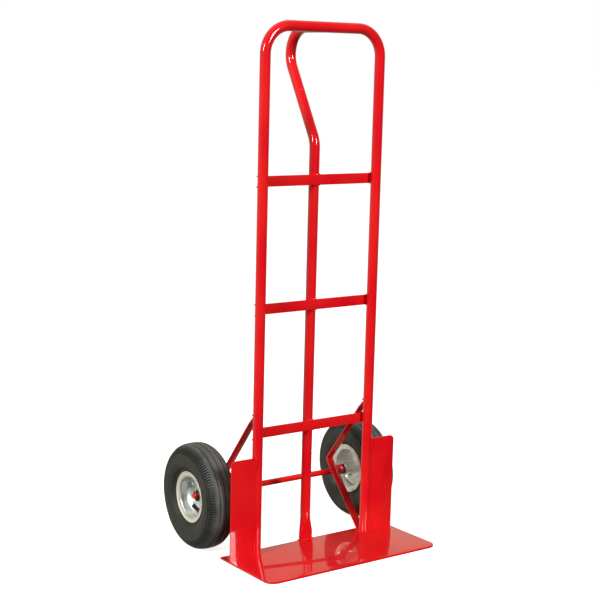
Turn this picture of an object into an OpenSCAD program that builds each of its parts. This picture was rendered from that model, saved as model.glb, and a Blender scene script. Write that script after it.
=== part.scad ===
// Two-wheeled hand truck: bent tube frame, toe plate and pneumatic wheels.
// X points to the right, Y to the rear and Z up. The origin is on the floor,
// midway between the two rails. The tube frame is drawn upright and then leaned.

/* [Frame] */
// Outer diameter of the frame tubes
tube_d = 25; // [22:1:28]
// Wall thickness of the frame tubes
tube_wall = 2; // [1.5:0.5:3]
// Distance between the two rails, centre to centre
rail_spacing = 325; // [300:5:360]
// Height of the hand truck over the top bar
overall_h = 1265; // [1200:5:1350]
// Lean of the rails towards the toe plate, in degrees
lean = 2.5; // [2:0.5:3]
// Centre-line radius of the two top corners
corner_r = 65; // [50:5:90]
// Height of the flat crossbars
bar_h = 25; // [20:1:30]
// Thickness of the flat crossbars
bar_t = 4; // [3:0.5:6]
// Height from one crossbar to the next
bar_pitch = 300; // [280:5:320]

/* [Handle] */
// Angle of the handle's slope to the rails, in degrees
handle_slope = 31; // [25:1:35]
// Height at which the centre tube leaves the rails' direction
handle_start = 973; // [960:1:985]
// Centre-line radius of the lower handle bend
lower_bend_r = 60; // [50:5:80]
// Centre-line radius of the upper handle bend
upper_bend_r = 62; // [55:1:65]
// Width of the flattened foot of the centre tube
foot_w = 39; // [36:1:42]
// Thickness of the flattened foot of the centre tube
foot_t = 5; // [4:0.5:6]
// Height of the flattened foot and the taper above it
foot_h = 75; // [60:5:100]

/* [Toe plate] */
// Width of the toe plate
plate_w = 490; // [480:2:520]
// Reach of the toe plate in front of the origin
plate_front = 192; // [170:2:230]
// Reach of the toe plate behind the origin
plate_back = 28; // [28:1:34]
// Thickness of the toe plate
plate_t = 5; // [4:0.5:6]
// Radius of the front corners of the toe plate
plate_corner_r = 25; // [15:1:40]

/* [Wheel guards] */
// Distance from the centre plane to the outer edge of a guard
guard_reach = 240.5; // [230:0.5:240.5]
// Height of the guards
guard_h = 249; // [220:1:260]
// Thickness of the guards
guard_t = 3; // [2:0.5:4]
// Radius of the upper outer corner of a guard
guard_corner_r = 12; // [5:1:20]

/* [Axle] */
// Diameter of the axle and bore of the wheel bearings
axle_d = 15; // [15:1:15]
// Distance of the axle behind the origin
axle_y = 137.5; // [136:0.5:139]
// Width of the flat bars that carry the axle
bracket_w = 20; // [16:1:22]
// Thickness of the flat bars that carry the axle
bracket_t = 4; // [3:0.5:5]

/* [Wheels] */
// Outer diameter of the tyres
wheel_d = 260; // [260:1:260]
// Width of the tyres
tyre_w = 80; // [76:1:82]
// Distance between the middle planes of the wheels
wheel_track = 476; // [476:1:484]
// Outer diameter of the rim flanges
rim_d = 127; // [127:1:127]
// Sheet thickness of the rim halves
rim_t = 2; // [1.5:0.5:2]
// Number of bolts that clamp the two rim halves
rim_bolts = 4; // [4:1:5]

/* [Hidden] */
$fn = 64;

red = [0.85, 0.06, 0.10];
dark_red = [0.60, 0.05, 0.06];
zinc = [0.78, 0.77, 0.70];
steel = [0.55, 0.56, 0.58];
black = [0.10, 0.10, 0.10];

eps = 0.01;
far = 2000;
left = -1;
right = 1;

// Frame, in its own upright coordinates before the lean
tube_r = tube_d / 2;
rail_x = rail_spacing / 2;
loop_h = (overall_h - tube_r) / cos(lean);
bars_y = tube_r + bar_t / 2;
centre_tube_y = tube_r + bar_t + tube_r;
guard_y = -9;

// Handle path: the slope ends where the upper bend has to begin
bend_1 = [centre_tube_y + lower_bend_r, handle_start];
slope_from = bend_1 + lower_bend_r * [-cos(handle_slope), sin(handle_slope)];
slope_length = (loop_h - upper_bend_r * (1 + sin(handle_slope)) - slope_from[1]) / cos(handle_slope);
slope_to = slope_from + slope_length * [sin(handle_slope), cos(handle_slope)];
bend_2 = slope_to + upper_bend_r * [-cos(handle_slope), sin(handle_slope)];
foot_y = plate_back - foot_t / 2 - 0.5;
foot_flat_h = 16;

// Axle and the parts on it, as distances from the centre plane
axle_r = axle_d / 2;
axle_z = wheel_d / 2;
wheel_x = wheel_track / 2;
bracket_out = rail_x + bracket_w / 2;
end_play = 0.5;
washer_t = 2;
washer_r = 14;
hub_in = 42;
hub_out = 6;
washer_in_x = wheel_x - hub_in - end_play;
washer_out_x = wheel_x + hub_out + end_play;
collar_r = 13.5;
pin_r = 1.5;
pin_x = washer_out_x + washer_t + pin_r + 0.5;
axle_end_x = pin_x + 6;

// Side path of a bracket: top end on the rail, kink, rear bend, foot on the plate
bracket_slope = 48.6;
axle_normal = [-sin(bracket_slope), cos(bracket_slope)];
bracket_touch = [axle_y, axle_z] + (axle_r + bracket_t / 2) * axle_normal;
bracket_back = bracket_touch + 33 * [cos(bracket_slope), sin(bracket_slope)];
bracket_foot = bracket_touch - 172 * [cos(bracket_slope), sin(bracket_slope)];
bracket_kink = [10.5, 326];
bracket_top = [-8, 343];

// Wheel profiles: first number along the axle, outwards, second number the radius
tyre_mid_r = 96;
tyre_half_h = wheel_d / 2 - tyre_mid_r;
tyre_wall = 5.5;
tyre_roundness = 2.5;
bead_in = 14.5;
bead_out = 24.2;
bead_r = 51;
bead_chamfer = 1.5;
rib_grooves = [-26.5, -13, 0, 13, 26.5];
groove_w = 3;
groove_depth = 4;
rim_r = rim_d / 2;
seat_r = 49.5;
hub_r = 17;
rim_hole_r = hub_r + 0.05;
rim_path = [
    [rim_t / 2, rim_hole_r], [rim_t / 2, seat_r - 8.5], [7, seat_r - 1.5],
    [25, seat_r], [26.2, rim_r - 4], [28.7, rim_r - 1]
];
bolt_circle_r = 33;
bolt_r = 4;
bolt_start_angle = 40;

// Bearing with a 15 mm bore, a 28 mm outer diameter and a width of 7 mm
bearing_r = 14;
bearing_w = 7;
ball_r = 2;
ball_circle_r = 10.75;
ball_count = 11;

// Valve: its foot is on the inner tube and its tip leans in and out of the dish
valve_angle = 232;
valve_foot = [-0.5, 66.5];
valve_tip = [24, 23];
valve_r = 5;

weld_r = 2.2;

// ---------------------------------------------------------------- functions

function unit(v) = v / norm(v);
function left_of(v) = [-v[1], v[0]];
function turned(v, a) = [v[0] * cos(a) - v[1] * sin(a), v[0] * sin(a) + v[1] * cos(a)];

// A path whose inner corners are arcs of radius r in the given number of steps
function rounded_path(p, r, steps = 6) = [
    p[0],
    for (i = [1 : len(p) - 2])
        let (
            u = unit(p[i] - p[i - 1]),
            v = unit(p[i + 1] - p[i]),
            side = sign(u[0] * v[1] - u[1] * v[0]),
            angle = acos(u * v),
            start = p[i] - r * tan(angle / 2) * u,
            centre = start + side * r * left_of(u)
        )
        for (k = [0 : steps]) centre - side * r * turned(left_of(u), side * angle * k / steps),
    p[len(p) - 1]
];

function path_normal(p, i) = let (last = len(p) - 1) left_of(unit(
    (i > 0 ? unit(p[i] - p[i - 1]) : [0, 0]) + (i < last ? unit(p[i + 1] - p[i]) : [0, 0])));

// Outline of a strip of thickness t whose middle follows the path
function strip(p, t) = let (last = len(p) - 1) concat(
    [for (i = [0 : last]) p[i] + path_normal(p, i) * t / 2],
    [for (i = [last : -1 : 0]) p[i] - path_normal(p, i) * t / 2]);

// Rounded cross-section of a tyre or inner tube around the mean radius
function tyre_section(half_w, half_h, steps = 48) = [
    for (k = [0 : steps - 1])
        let (a = 360 * k / steps, e = 2 / tyre_roundness)
        [half_w * sign(cos(a)) * pow(abs(cos(a)), e),
         tyre_mid_r + half_h * sign(sin(a)) * pow(abs(sin(a)), e)]
];

// ------------------------------------------------------------ shared shapes

module leaning() {
    rotate([lean, 0, 0]) children();
}

module cut_at_plate() {
    difference() {
        children();
        translate([-far / 2, -far / 2, plate_t - far]) cube(far);
    }
}

// Ring sector of a tube in the YZ plane, angles from +Y towards +Z
module elbow(centre, radius, from, to, d) {
    translate([0, centre[0], centre[1]]) rotate([90, 0, 90]) rotate([0, 0, from])
        rotate_extrude(angle = to - from) translate([radius, 0]) circle(d = d);
}

// Round bar from a to b in the YZ plane
module bar_yz(a, b, d) {
    v = b - a;
    translate([0, a[0], a[1]]) rotate([-atan2(v[0], v[1]), 0, 0]) cylinder(d = d, h = norm(v));
}

// Solid of revolution about the axle; side is left or right, the profile points outwards
module about_axle(side) {
    translate([side * wheel_x, axle_y, axle_z]) rotate([0, side * 90, 0]) children();
}

module turned_profile(side) {
    about_axle(side) rotate_extrude($fn = 96) rotate(90) mirror([0, 1]) children();
}

// Straight weld bead between two points
module bead(a, b, r = weld_r) {
    v = b - a;
    translate(a) rotate([0, acos(v[2] / norm(v)), atan2(v[1], v[0])]) cylinder(r = r, h = norm(v), $fn = 16);
}

// -------------------------------------------------------------------- frame

module loop_run(d) {
    for (s = [left, right]) {
        translate([s * rail_x, 0, -tube_d]) cylinder(d = d, h = loop_h - corner_r + tube_d);
        translate([s * (rail_x - corner_r), 0, loop_h - corner_r]) rotate([90, 0, 0])
            rotate([0, 0, s == right ? 0 : 90])
                rotate_extrude(angle = 90) translate([corner_r, 0]) circle(d = d);
    }
    translate([corner_r - rail_x, 0, loop_h]) rotate([0, 90, 0])
        cylinder(d = d, h = rail_spacing - 2 * corner_r);
}

module main_loop_tube() {
    color(red) cut_at_plate() leaning() difference() {
        loop_run(tube_d);
        loop_run(tube_d - 2 * tube_wall);
    }
}

// Straight runs are a hair thinner than the bends and reach a little way into them
module handle_run(d) {
    lap = 0.5;
    straight_d = d - 0.2;
    rise = [sin(handle_slope), cos(handle_slope)];
    translate([0, centre_tube_y, foot_h]) cylinder(d = straight_d, h = handle_start - foot_h + lap);
    elbow(bend_1, lower_bend_r, 180 - handle_slope, 180, d);
    bar_yz(slope_from - lap * rise, slope_to + lap * rise, straight_d);
    elbow(bend_2, upper_bend_r, -handle_slope, 90, d);
    bar_yz([bend_2[0] + lap, loop_h], [0, loop_h], straight_d);
}

module top_bar_clearance() {
    translate([-rail_x, 0, loop_h]) rotate([0, 90, 0]) cylinder(d = tube_d, h = rail_spacing);
}

module centre_handle_tube() {
    color(red) cut_at_plate() leaning() {
        difference() {
            handle_run(tube_d);
            handle_run(tube_d - 2 * tube_wall);
            top_bar_clearance();
        }
        hull() {
            translate([0, centre_tube_y, foot_h - eps]) cylinder(d = tube_d - 0.6, h = 1, $fn = 32);
            translate([-foot_w / 2, foot_y - foot_t / 2, foot_flat_h]) cube([foot_w, foot_t, eps]);
        }
        translate([-foot_w / 2, foot_y - foot_t / 2, -tube_d]) cube([foot_w, foot_t, foot_flat_h + tube_d]);
    }
}

module crossbar(level) {
    color(red) leaning() translate([-rail_x, bars_y - bar_t / 2, level * bar_pitch - bar_h / 2])
        cube([rail_spacing, bar_t, bar_h]);
}

module toe_plate() {
    front_x = plate_w / 2 - plate_corner_r;
    color(red) linear_extrude(plate_t) union() {
        for (s = [left, right]) translate([s * front_x, plate_corner_r - plate_front]) circle(plate_corner_r);
        translate([-front_x, -plate_front]) square([2 * front_x, 2 * plate_corner_r]);
        translate([-plate_w / 2, plate_corner_r - plate_front])
            square([plate_w, plate_front + plate_back - plate_corner_r]);
    }
}

module wheel_guard(side) {
    corner = [guard_reach - guard_corner_r, guard_h - guard_corner_r];
    color(red) cut_at_plate() leaning() difference() {
        translate([0, guard_y + guard_t / 2, 0]) rotate([90, 0, 0]) linear_extrude(guard_t)
            mirror([side == left ? 1 : 0, 0]) union() {
                translate(corner) circle(guard_corner_r);
                translate([rail_x, -tube_d]) square([corner[0] - rail_x, guard_h + tube_d]);
                translate([rail_x, -tube_d]) square([guard_reach - rail_x, corner[1] + tube_d]);
            }
        translate([side * rail_x, 0, -tube_d]) cylinder(d = tube_d, h = guard_h + 2 * tube_d);
    }
}

module axle_bracket(side) {
    path = rounded_path([bracket_top, bracket_kink, bracket_back, bracket_foot], 6);
    color(dark_red) cut_at_plate() difference() {
        translate([side * rail_x - bracket_w / 2, 0, 0]) rotate([90, 0, 90])
            linear_extrude(bracket_w) polygon(strip(path, bracket_t));
        leaning() translate([side * rail_x, 0, 0]) cylinder(d = tube_d, h = loop_h / 2);
    }
}

// --------------------------------------------------------------------- axle

module axle() {
    color(red) difference() {
        translate([-axle_end_x, axle_y, axle_z]) rotate([0, 90, 0]) cylinder(r = axle_r, h = 2 * axle_end_x);
        for (s = [left, right]) translate([s * pin_x, axle_y, axle_z - axle_d])
            cylinder(r = pin_r + 0.05, h = 2 * axle_d, $fn = 24);
    }
}

// Ring on the axle between two distances from the centre plane
module axle_ring(side, near, away, inner_r, outer_r) {
    translate([side * near, axle_y, axle_z]) rotate([0, side * 90, 0]) difference() {
        cylinder(r = outer_r, h = away - near);
        translate([0, 0, -1]) cylinder(r = inner_r, h = away - near + 2);
    }
}

module axle_collar(side) {
    color(red) axle_ring(side, bracket_out + 0.5, washer_in_x - washer_t, axle_r, collar_r);
}

module inner_washers() {
    color(steel) for (s = [left, right])
        axle_ring(s, washer_in_x - washer_t, washer_in_x, axle_r + 0.25, washer_r);
}

module outer_washers() {
    color(steel) for (s = [left, right])
        axle_ring(s, washer_out_x, washer_out_x + washer_t, axle_r + 0.25, washer_r);
}

module split_pins() {
    eye_r = 3;
    color(steel) for (s = [left, right]) translate([s * pin_x, axle_y, axle_z]) {
        translate([0, 0, -axle_r - 6]) cylinder(r = pin_r, h = axle_d + 7.5, $fn = 24);
        translate([0, 0, axle_r + 2 + eye_r]) rotate([90, 0, 90])
            rotate_extrude($fn = 32) translate([eye_r, 0]) circle(pin_r, $fn = 24);
    }
}

// -------------------------------------------------------------------- welds

module rail_foot_welds() {
    color(red) for (s = [left, right]) translate([s * rail_x, 0, plate_t])
        rotate_extrude() translate([tube_r, 0]) intersection() {
            circle(weld_r, $fn = 24);
            translate([-weld_r, 0]) square(2 * weld_r);
        }
}

module crossbar_welds() {
    color(red) leaning() for (level = [1 : 3], edge = [left, right]) {
        z = level * bar_pitch + edge * bar_h / 2;
        for (s = [left, right]) bead([s * rail_x - 7, tube_r, z], [s * rail_x + 7, tube_r, z]);
        bead([-7, tube_r + bar_t, z], [7, tube_r + bar_t, z]);
    }
}

module handle_welds() {
    color(red) {
        for (edge = [left, right]) bead(
            [-foot_w / 2, foot_y + edge * foot_t / 2, plate_t],
            [foot_w / 2, foot_y + edge * foot_t / 2, plate_t]);
        leaning() for (from = [-60, 120]) translate([0, tube_r - 2, loop_h]) rotate([90, 0, 0])
            rotate([0, 0, from]) rotate_extrude(angle = 120) translate([tube_r, 0]) circle(weld_r, $fn = 24);
    }
}

module guard_welds() {
    seam_x = rail_x + tube_r * cos(asin(-guard_y / tube_r)) + 0.5;
    seam_y = guard_y - guard_t / 2;
    color(red) {
        for (s = [left, right]) leaning() {
            bead([s * seam_x, seam_y, 8], [s * seam_x, seam_y, 34]);
            bead([s * seam_x, seam_y, guard_h - 26], [s * seam_x, seam_y, guard_h - 3]);
        }
        for (s = [left, right], run = [0, 1]) {
            from = rail_x + tube_r + run * (guard_reach - rail_x - tube_r - 25);
            y = guard_y + guard_t / 2;
            bead([s * from, y, plate_t], [s * (from + 22), y, plate_t]);
        }
    }
}

module bracket_welds() {
    half = bracket_w / 2;
    below = [axle_y - axle_r, axle_z + axle_r * 0.2];
    color(red) for (s = [left, right]) {
        x = s * rail_x;
        leaning() bead([x - half + 2, tube_r, 347], [x + half - 2, tube_r, 347]);
        bead([x - half, bracket_foot[0] + 4, plate_t], [x + half, bracket_foot[0] + 4, plate_t]);
        bead([x - half, below[0], below[1]], [x + half, below[0], below[1]]);
    }
}

// ------------------------------------------------------------------- wheels

module tyre(side) {
    color(black) turned_profile(side) difference() {
        union() {
            polygon(tyre_section(tyre_w / 2, tyre_half_h));
            for (turn = [0, 1]) mirror([turn, 0]) polygon([
                [bead_in, bead_r], [bead_out - bead_chamfer, bead_r], [bead_out, bead_r + bead_chamfer],
                [bead_out, rim_r - 3.5], [33, rim_r + 8], [bead_in, rim_r + 8]
            ]);
        }
        polygon(tyre_section(tyre_w / 2 - tyre_wall, tyre_half_h - tyre_wall));
        translate([-bead_in, bead_r - 1]) square([2 * bead_in, rim_r + 12 - bead_r]);
        for (x = rib_grooves) translate([x - groove_w / 2, wheel_d / 2 - groove_depth - x * x / 250])
            square([groove_w, 2 * groove_depth]);
    }
}

module inner_tube(side) {
    wall = 2;
    gap = 0.3;
    half_w = tyre_w / 2 - tyre_wall - gap;
    half_h = tyre_half_h - tyre_wall - gap;
    color(black) turned_profile(side) difference() {
        polygon(tyre_section(half_w, half_h));
        polygon(tyre_section(half_w - wall, half_h - wall));
    }
}

module rim_profile() {
    polygon(strip(rounded_path(rim_path, 2.5), rim_t));
}

module valve_bore(side, r) {
    valve_line(side) cylinder(r = r, h = norm(valve_tip - valve_foot));
}

// Puts the start of a shape at the valve's foot and its +Z along the valve
module valve_line(side) {
    v = valve_tip - valve_foot;
    translate([side * wheel_x, axle_y, axle_z]) rotate([valve_angle, 0, 0])
        translate([side * valve_foot[0], valve_foot[1], 0]) rotate([-90, 0, 0])
            rotate([0, side * atan2(v[0], v[1]), 0]) children();
}

module bolt_places(side) {
    for (k = [0 : rim_bolts - 1]) about_axle(side)
        rotate([0, 0, side * bolt_start_angle + k * 360 / rim_bolts]) translate([bolt_circle_r, 0, 0]) children();
}

module outer_rim_half(side) {
    color(zinc) difference() {
        turned_profile(side) rim_profile();
        bolt_places(side) translate([0, 0, -5]) cylinder(r = bolt_r + 0.25, h = 10);
        valve_bore(side, valve_r + 0.5);
    }
}

module inner_rim_half(side) {
    color(zinc) difference() {
        turned_profile(side) mirror([1, 0]) rim_profile();
        bolt_places(side) translate([0, 0, -5]) cylinder(r = bolt_r + 0.25, h = 10);
    }
}

// Hub barrel with a seat for a bearing at each end and a weld fillet on each side of the rim
module hub(side) {
    fillet = 3;
    face = rim_t + 0.02;
    bore = bearing_r - 3;
    seat = bearing_r + 0.02;
    color(zinc) turned_profile(side) polygon([
        [-hub_in, seat], [-hub_in, hub_r], [-face - fillet, hub_r], [-face, hub_r + fillet], [-face, hub_r],
        [face, hub_r], [face, hub_r + fillet], [face + fillet, hub_r], [hub_out, hub_r], [hub_out, seat],
        [hub_out - bearing_w, seat], [hub_out - bearing_w, bore],
        [bearing_w - hub_in, bore], [bearing_w - hub_in, seat]
    ]);
}

// Places a shape at the middle of each of the two bearings, with +Z along the axle
module bearing_places(side) {
    for (x = [bearing_w / 2 - hub_in, hub_out - bearing_w / 2]) about_axle(side)
        translate([0, 0, x]) children();
}

module race(inner_r, outer_r) {
    width = bearing_w - 0.1;
    rotate_extrude($fn = 96) difference() {
        translate([inner_r, -width / 2]) square([outer_r - inner_r, width]);
        translate([ball_circle_r, 0]) circle(ball_r + 0.03, $fn = 48);
    }
}

module bearing_outer_races(side) {
    color(steel) bearing_places(side) race(ball_circle_r + 1.6, bearing_r);
}

module bearing_inner_races(side) {
    color(steel) bearing_places(side) race(axle_r + 0.05, ball_circle_r - 1.6);
}

module bearing_balls(side) {
    color(steel) bearing_places(side) for (k = [0 : ball_count - 1])
        rotate([0, 0, k * 360 / ball_count]) translate([ball_circle_r, 0, 0]) sphere(ball_r, $fn = 32);
}

module bolt_set(side) {
    head_h = 5.3;
    color(steel) bolt_places(side) {
        translate([0, 0, rim_t + 0.01]) cylinder(d = 15, h = head_h, $fn = 6);
        translate([0, 0, -rim_t - 10]) cylinder(r = bolt_r, h = rim_t * 2 + 10.02);
    }
}

module nut_set(side) {
    nut_h = 6.5;
    color(steel) bolt_places(side) translate([0, 0, -rim_t - nut_h - 0.01]) difference() {
        cylinder(d = 15, h = nut_h, $fn = 6);
        translate([0, 0, -1]) cylinder(r = bolt_r + 0.02, h = nut_h + 2);
    }
}

module valve_stem(side) {
    length = norm(valve_tip - valve_foot);
    color(black) valve_line(side) {
        cylinder(r = valve_r + 2.5, h = 2);
        cylinder(r = valve_r, h = length - 9);
        cylinder(r = 2.6, h = length - 1);
    }
}

module valve_cap(side) {
    length = norm(valve_tip - valve_foot);
    cap_h = 11;
    color(black) valve_line(side) translate([0, 0, length - 8.9]) difference() {
        cylinder(r = valve_r, h = cap_h);
        translate([0, 0, -1]) cylinder(r = 2.65, h = 10);
    }
}

// --------------------------------------------------------------------- parts

main_loop_tube();
centre_handle_tube();
crossbar(1);  // lower_crossbar
crossbar(2);  // middle_crossbar
crossbar(3);  // upper_crossbar
toe_plate();
wheel_guard(left);  // left_wheel_guard
wheel_guard(right);  // right_wheel_guard
axle_bracket(left);  // left_axle_bracket
axle_bracket(right);  // right_axle_bracket
axle();
axle_collar(left);  // left_axle_collar
axle_collar(right);  // right_axle_collar
inner_washers();
outer_washers();
split_pins();
rail_foot_welds();
crossbar_welds();
handle_welds();
guard_welds();
bracket_welds();
tyre(left);  // left_tyre
inner_tube(left);  // left_inner_tube
outer_rim_half(left);  // left_outer_rim_half
inner_rim_half(left);  // left_inner_rim_half
hub(left);  // left_hub
bearing_outer_races(left);  // left_bearing_outer_races
bearing_inner_races(left);  // left_bearing_inner_races
bearing_balls(left);  // left_bearing_balls
bolt_set(left);  // left_rim_bolts
nut_set(left);  // left_rim_nuts
valve_stem(left);  // left_valve_stem
valve_cap(left);  // left_valve_cap
tyre(right);  // right_tyre
inner_tube(right);  // right_inner_tube
outer_rim_half(right);  // right_outer_rim_half
inner_rim_half(right);  // right_inner_rim_half
hub(right);  // right_hub
bearing_outer_races(right);  // right_bearing_outer_races
bearing_inner_races(right);  // right_bearing_inner_races
bearing_balls(right);  // right_bearing_balls
bolt_set(right);  // right_rim_bolts
nut_set(right);  // right_rim_nuts
valve_stem(right);  // right_valve_stem
valve_cap(right);  // right_valve_cap
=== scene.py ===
"""Hand truck: the detailed visual model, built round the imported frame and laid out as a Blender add-on."""
import math
import random
from contextlib import contextmanager

import bmesh
import bpy
from mathutils import Matrix, Vector


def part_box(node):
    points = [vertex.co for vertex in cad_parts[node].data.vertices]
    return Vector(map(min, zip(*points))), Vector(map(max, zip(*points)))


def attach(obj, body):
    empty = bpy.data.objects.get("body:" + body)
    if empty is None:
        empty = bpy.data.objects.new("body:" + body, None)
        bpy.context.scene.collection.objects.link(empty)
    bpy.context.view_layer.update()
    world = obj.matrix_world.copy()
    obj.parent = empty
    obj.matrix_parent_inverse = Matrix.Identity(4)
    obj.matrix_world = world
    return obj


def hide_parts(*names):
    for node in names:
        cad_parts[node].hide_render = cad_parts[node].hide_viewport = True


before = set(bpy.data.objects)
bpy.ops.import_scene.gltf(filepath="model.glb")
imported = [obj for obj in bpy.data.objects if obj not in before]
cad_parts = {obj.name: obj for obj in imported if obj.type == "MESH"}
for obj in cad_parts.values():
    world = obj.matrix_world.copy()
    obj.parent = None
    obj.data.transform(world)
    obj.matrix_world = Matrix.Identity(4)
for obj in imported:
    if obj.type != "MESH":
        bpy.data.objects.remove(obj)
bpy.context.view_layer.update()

bl_info = {
    "name": "Hand Truck Builder",
    "version": (1, 0, 0),
    "blender": (4, 5, 0),
    "location": "3D View > Sidebar > Hand Truck",
    "description": "Builds a two-wheeled hand truck with a bent tube frame and pneumatic wheels",
    "category": "Add Mesh",
}

# ------------------------------------------------------- places read from the frame

X = Vector((1, 0, 0))
Y = Vector((0, 1, 0))
Z = Vector((0, 0, 1))
LEFT = -1
RIGHT = 1
SIDES = {"left": LEFT, "right": RIGHT}


def middle_of(node):
    low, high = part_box(node)
    return (low + high) / 2


def size_of(node):
    low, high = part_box(node)
    return high - low


RAIL_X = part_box("lower_crossbar")[1].x
TUBE_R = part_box("main_loop_tube")[1].x - RAIL_X
BAR_STEP = middle_of("middle_crossbar") - middle_of("lower_crossbar")
LEAN = math.atan2(-BAR_STEP.y, BAR_STEP.z)
BAR_PITCH = BAR_STEP.length
LOOP_H = (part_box("main_loop_tube")[1].z - TUBE_R) / math.cos(LEAN)
PLATE_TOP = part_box("toe_plate")[1].z
PLATE_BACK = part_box("toe_plate")[1].y
GUARD_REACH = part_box("right_wheel_guard")[1].x
GUARD_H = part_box("right_wheel_guard")[1].z / math.cos(LEAN)
AXLE = middle_of("axle")
AXLE_R = size_of("axle").z / 2
AXLE_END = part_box("axle")[1].x
WHEEL_X = middle_of("right_tyre").x
WHEEL_R = size_of("right_tyre").z / 2
TYRE_W = size_of("right_tyre").x
RIM_R = size_of("right_outer_rim_half").z / 2
HUB_R = size_of("right_bearing_outer_races").z / 2
HUB_IN = WHEEL_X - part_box("right_hub")[0].x
HUB_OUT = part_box("right_hub")[1].x - WHEEL_X
WHEEL = Vector((WHEEL_X, AXLE.y, AXLE.z))


# --------------------------------------------------------------- user's settings


def length(name, description, metres):
    return bpy.props.FloatProperty(
        name=name, description=description, default=metres, min=0, unit="LENGTH", precision=4
    )


def angle(name, description, degrees):
    return bpy.props.FloatProperty(
        name=name, description=description, default=math.radians(degrees), subtype="ANGLE"
    )


def colour(name, description, rgb):
    return bpy.props.FloatVectorProperty(
        name=name, description=description, default=(*rgb, 1), size=4, subtype="COLOR", min=0, max=1
    )


class HandTruckFrameSizes(bpy.types.PropertyGroup):
    corner_radius: length("Corner radius", "Centre-line radius of the two top corners", 0.065)
    bar_height: length("Crossbar height", "Height of the flat crossbars", 0.025)
    bar_thickness: length("Crossbar thickness", "Thickness of the flat crossbars", 0.004)
    edge_radius: length("Edge radius", "Rounding on the long edges of bars and sheets", 0.0006)
    handle_start: length("Handle start", "Height at which the centre tube turns to the rear", 0.973)
    handle_slope: angle("Handle slope", "Angle of the handle's slope to the rails", 31)
    lower_bend: length("Lower bend", "Centre-line radius of the lower handle bend", 0.060)
    upper_bend: length("Upper bend", "Centre-line radius of the upper handle bend", 0.062)
    foot_width: length("Foot width", "Width of the pressed foot of the centre tube", 0.039)
    foot_thickness: length("Foot thickness", "Thickness of the pressed foot of the centre tube", 0.005)
    plate_corner: length("Plate corner", "Radius of the front corners of the toe plate", 0.025)
    plate_edge: length("Plate edge", "Rounding along the edges of the toe plate", 0.0009)
    guard_thickness: length("Guard thickness", "Thickness of the wheel guards", 0.003)
    guard_offset: length("Guard offset", "Distance of a guard in front of the rail's axis", 0.009)
    guard_corner: length("Guard corner", "Radius of the upper outer corner of a guard", 0.012)
    bracket_width: length("Bracket width", "Width of the flat bars that carry the axle", 0.020)
    bracket_thickness: length("Bracket thickness", "Thickness of the flat bars that carry the axle", 0.004)
    bracket_slope: angle("Bracket slope", "Slope of the lower leg of a bracket", 48.6)
    collar_radius: length("Collar radius", "Radius of the spacer collars on the axle", 0.0135)
    weld_radius: length("Weld radius", "Half the width of a weld bead", 0.0022)


class HandTruckWheelSizes(bpy.types.PropertyGroup):
    tread_pitches: bpy.props.IntProperty(
        name="Tread pitches", description="Number of tread blocks round the tyre", default=118, min=40
    )
    groove_width: length("Groove width", "Width of the grooves between the ribs", 0.0030)
    groove_depth: length("Groove depth", "Depth of the grooves between the ribs", 0.0034)
    zigzag: length("Zigzag", "Sideways step of the grooves from block to block", 0.0015)
    slot_depth: length("Slot depth", "Depth of the cross slots on the shoulders", 0.0052)
    tyre_wall: length("Tyre wall", "Thickness of the tyre's wall", 0.0055)
    sheet: length("Rim sheet", "Thickness of the pressed rim halves", 0.002)
    bead_seat: length("Bead seat radius", "Radius of the rim under the tyre's bead", 0.0495)
    bolt_circle: length("Bolt circle", "Radius of the circle of rim bolts", 0.033)
    bolt_radius: length("Bolt radius", "Radius of a rim bolt's shank", 0.004)
    bolt_start: angle("Bolt start", "Angle of the first rim bolt", -50)
    valve_angle: angle("Valve angle", "Place of the valve round the wheel", 232)
    valve_radius: length("Valve radius", "Radius of the rubber valve stem", 0.005)


class HandTruckColours(bpy.types.PropertyGroup):
    paint: colour("Paint", "Red powder coat of the frame", (0.66, 0.0040, 0.010))
    paint_warm: colour("Warm paint", "Slightly warmer cast of the same coat", (0.72, 0.011, 0.012))
    zinc: colour("Zinc", "Plated steel of the rims", (0.74, 0.77, 0.75))
    # Cream tone on the rim's outer lip: a painted reflection, on the same plated sheet as the grey dish
    lip_reflection_cream: colour("Warm zinc", "Cream cast in the plating", (0.84, 0.82, 0.71))
    steel: colour("Steel", "Plated bolts, nuts, washers and pins", (0.55, 0.56, 0.57))
    # Near-black washer tone: the washers are real parts, but this dark colour is painted shade for the gaps
    # beside the collars and round the axle ends
    washer: colour("Washer", "Blackened steel of the washers", (0.050, 0.047, 0.044))
    bearing: colour("Bearing steel", "Ground steel of the bearings", (0.62, 0.63, 0.65))
    tyre: colour("Tyre", "Black rubber of the tyres", (0.020, 0.021, 0.019))
    # Pale dusty film on the rubber, also used as a painted sheen that lightens the tread and leaves the slots
    # darker as painted shade
    tyre_dust_and_sheen: colour("Tyre dust", "Pale bloom on the rubber", (0.100, 0.102, 0.094))
    inner_tube: colour("Inner tube", "Butyl rubber of the inner tubes", (0.018, 0.018, 0.019))
    valve: colour("Valve", "Rubber of the valve stems and caps", (0.012, 0.013, 0.013))


def sizes():
    return bpy.context.scene.hand_truck_frame


def wheel_sizes():
    return bpy.context.scene.hand_truck_wheels


def colours():
    return bpy.context.scene.hand_truck_colours


# ------------------------------------------------------------------ bench tools


def deselect_all():
    if bpy.context.mode != "OBJECT":
        bpy.ops.object.mode_set(mode="OBJECT")
    bpy.ops.object.select_all(action="DESELECT")


def take(piece):
    """Makes one piece the only selected and active one."""
    deselect_all()
    bpy.context.view_layer.objects.active = piece
    piece.select_set(True)


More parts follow.
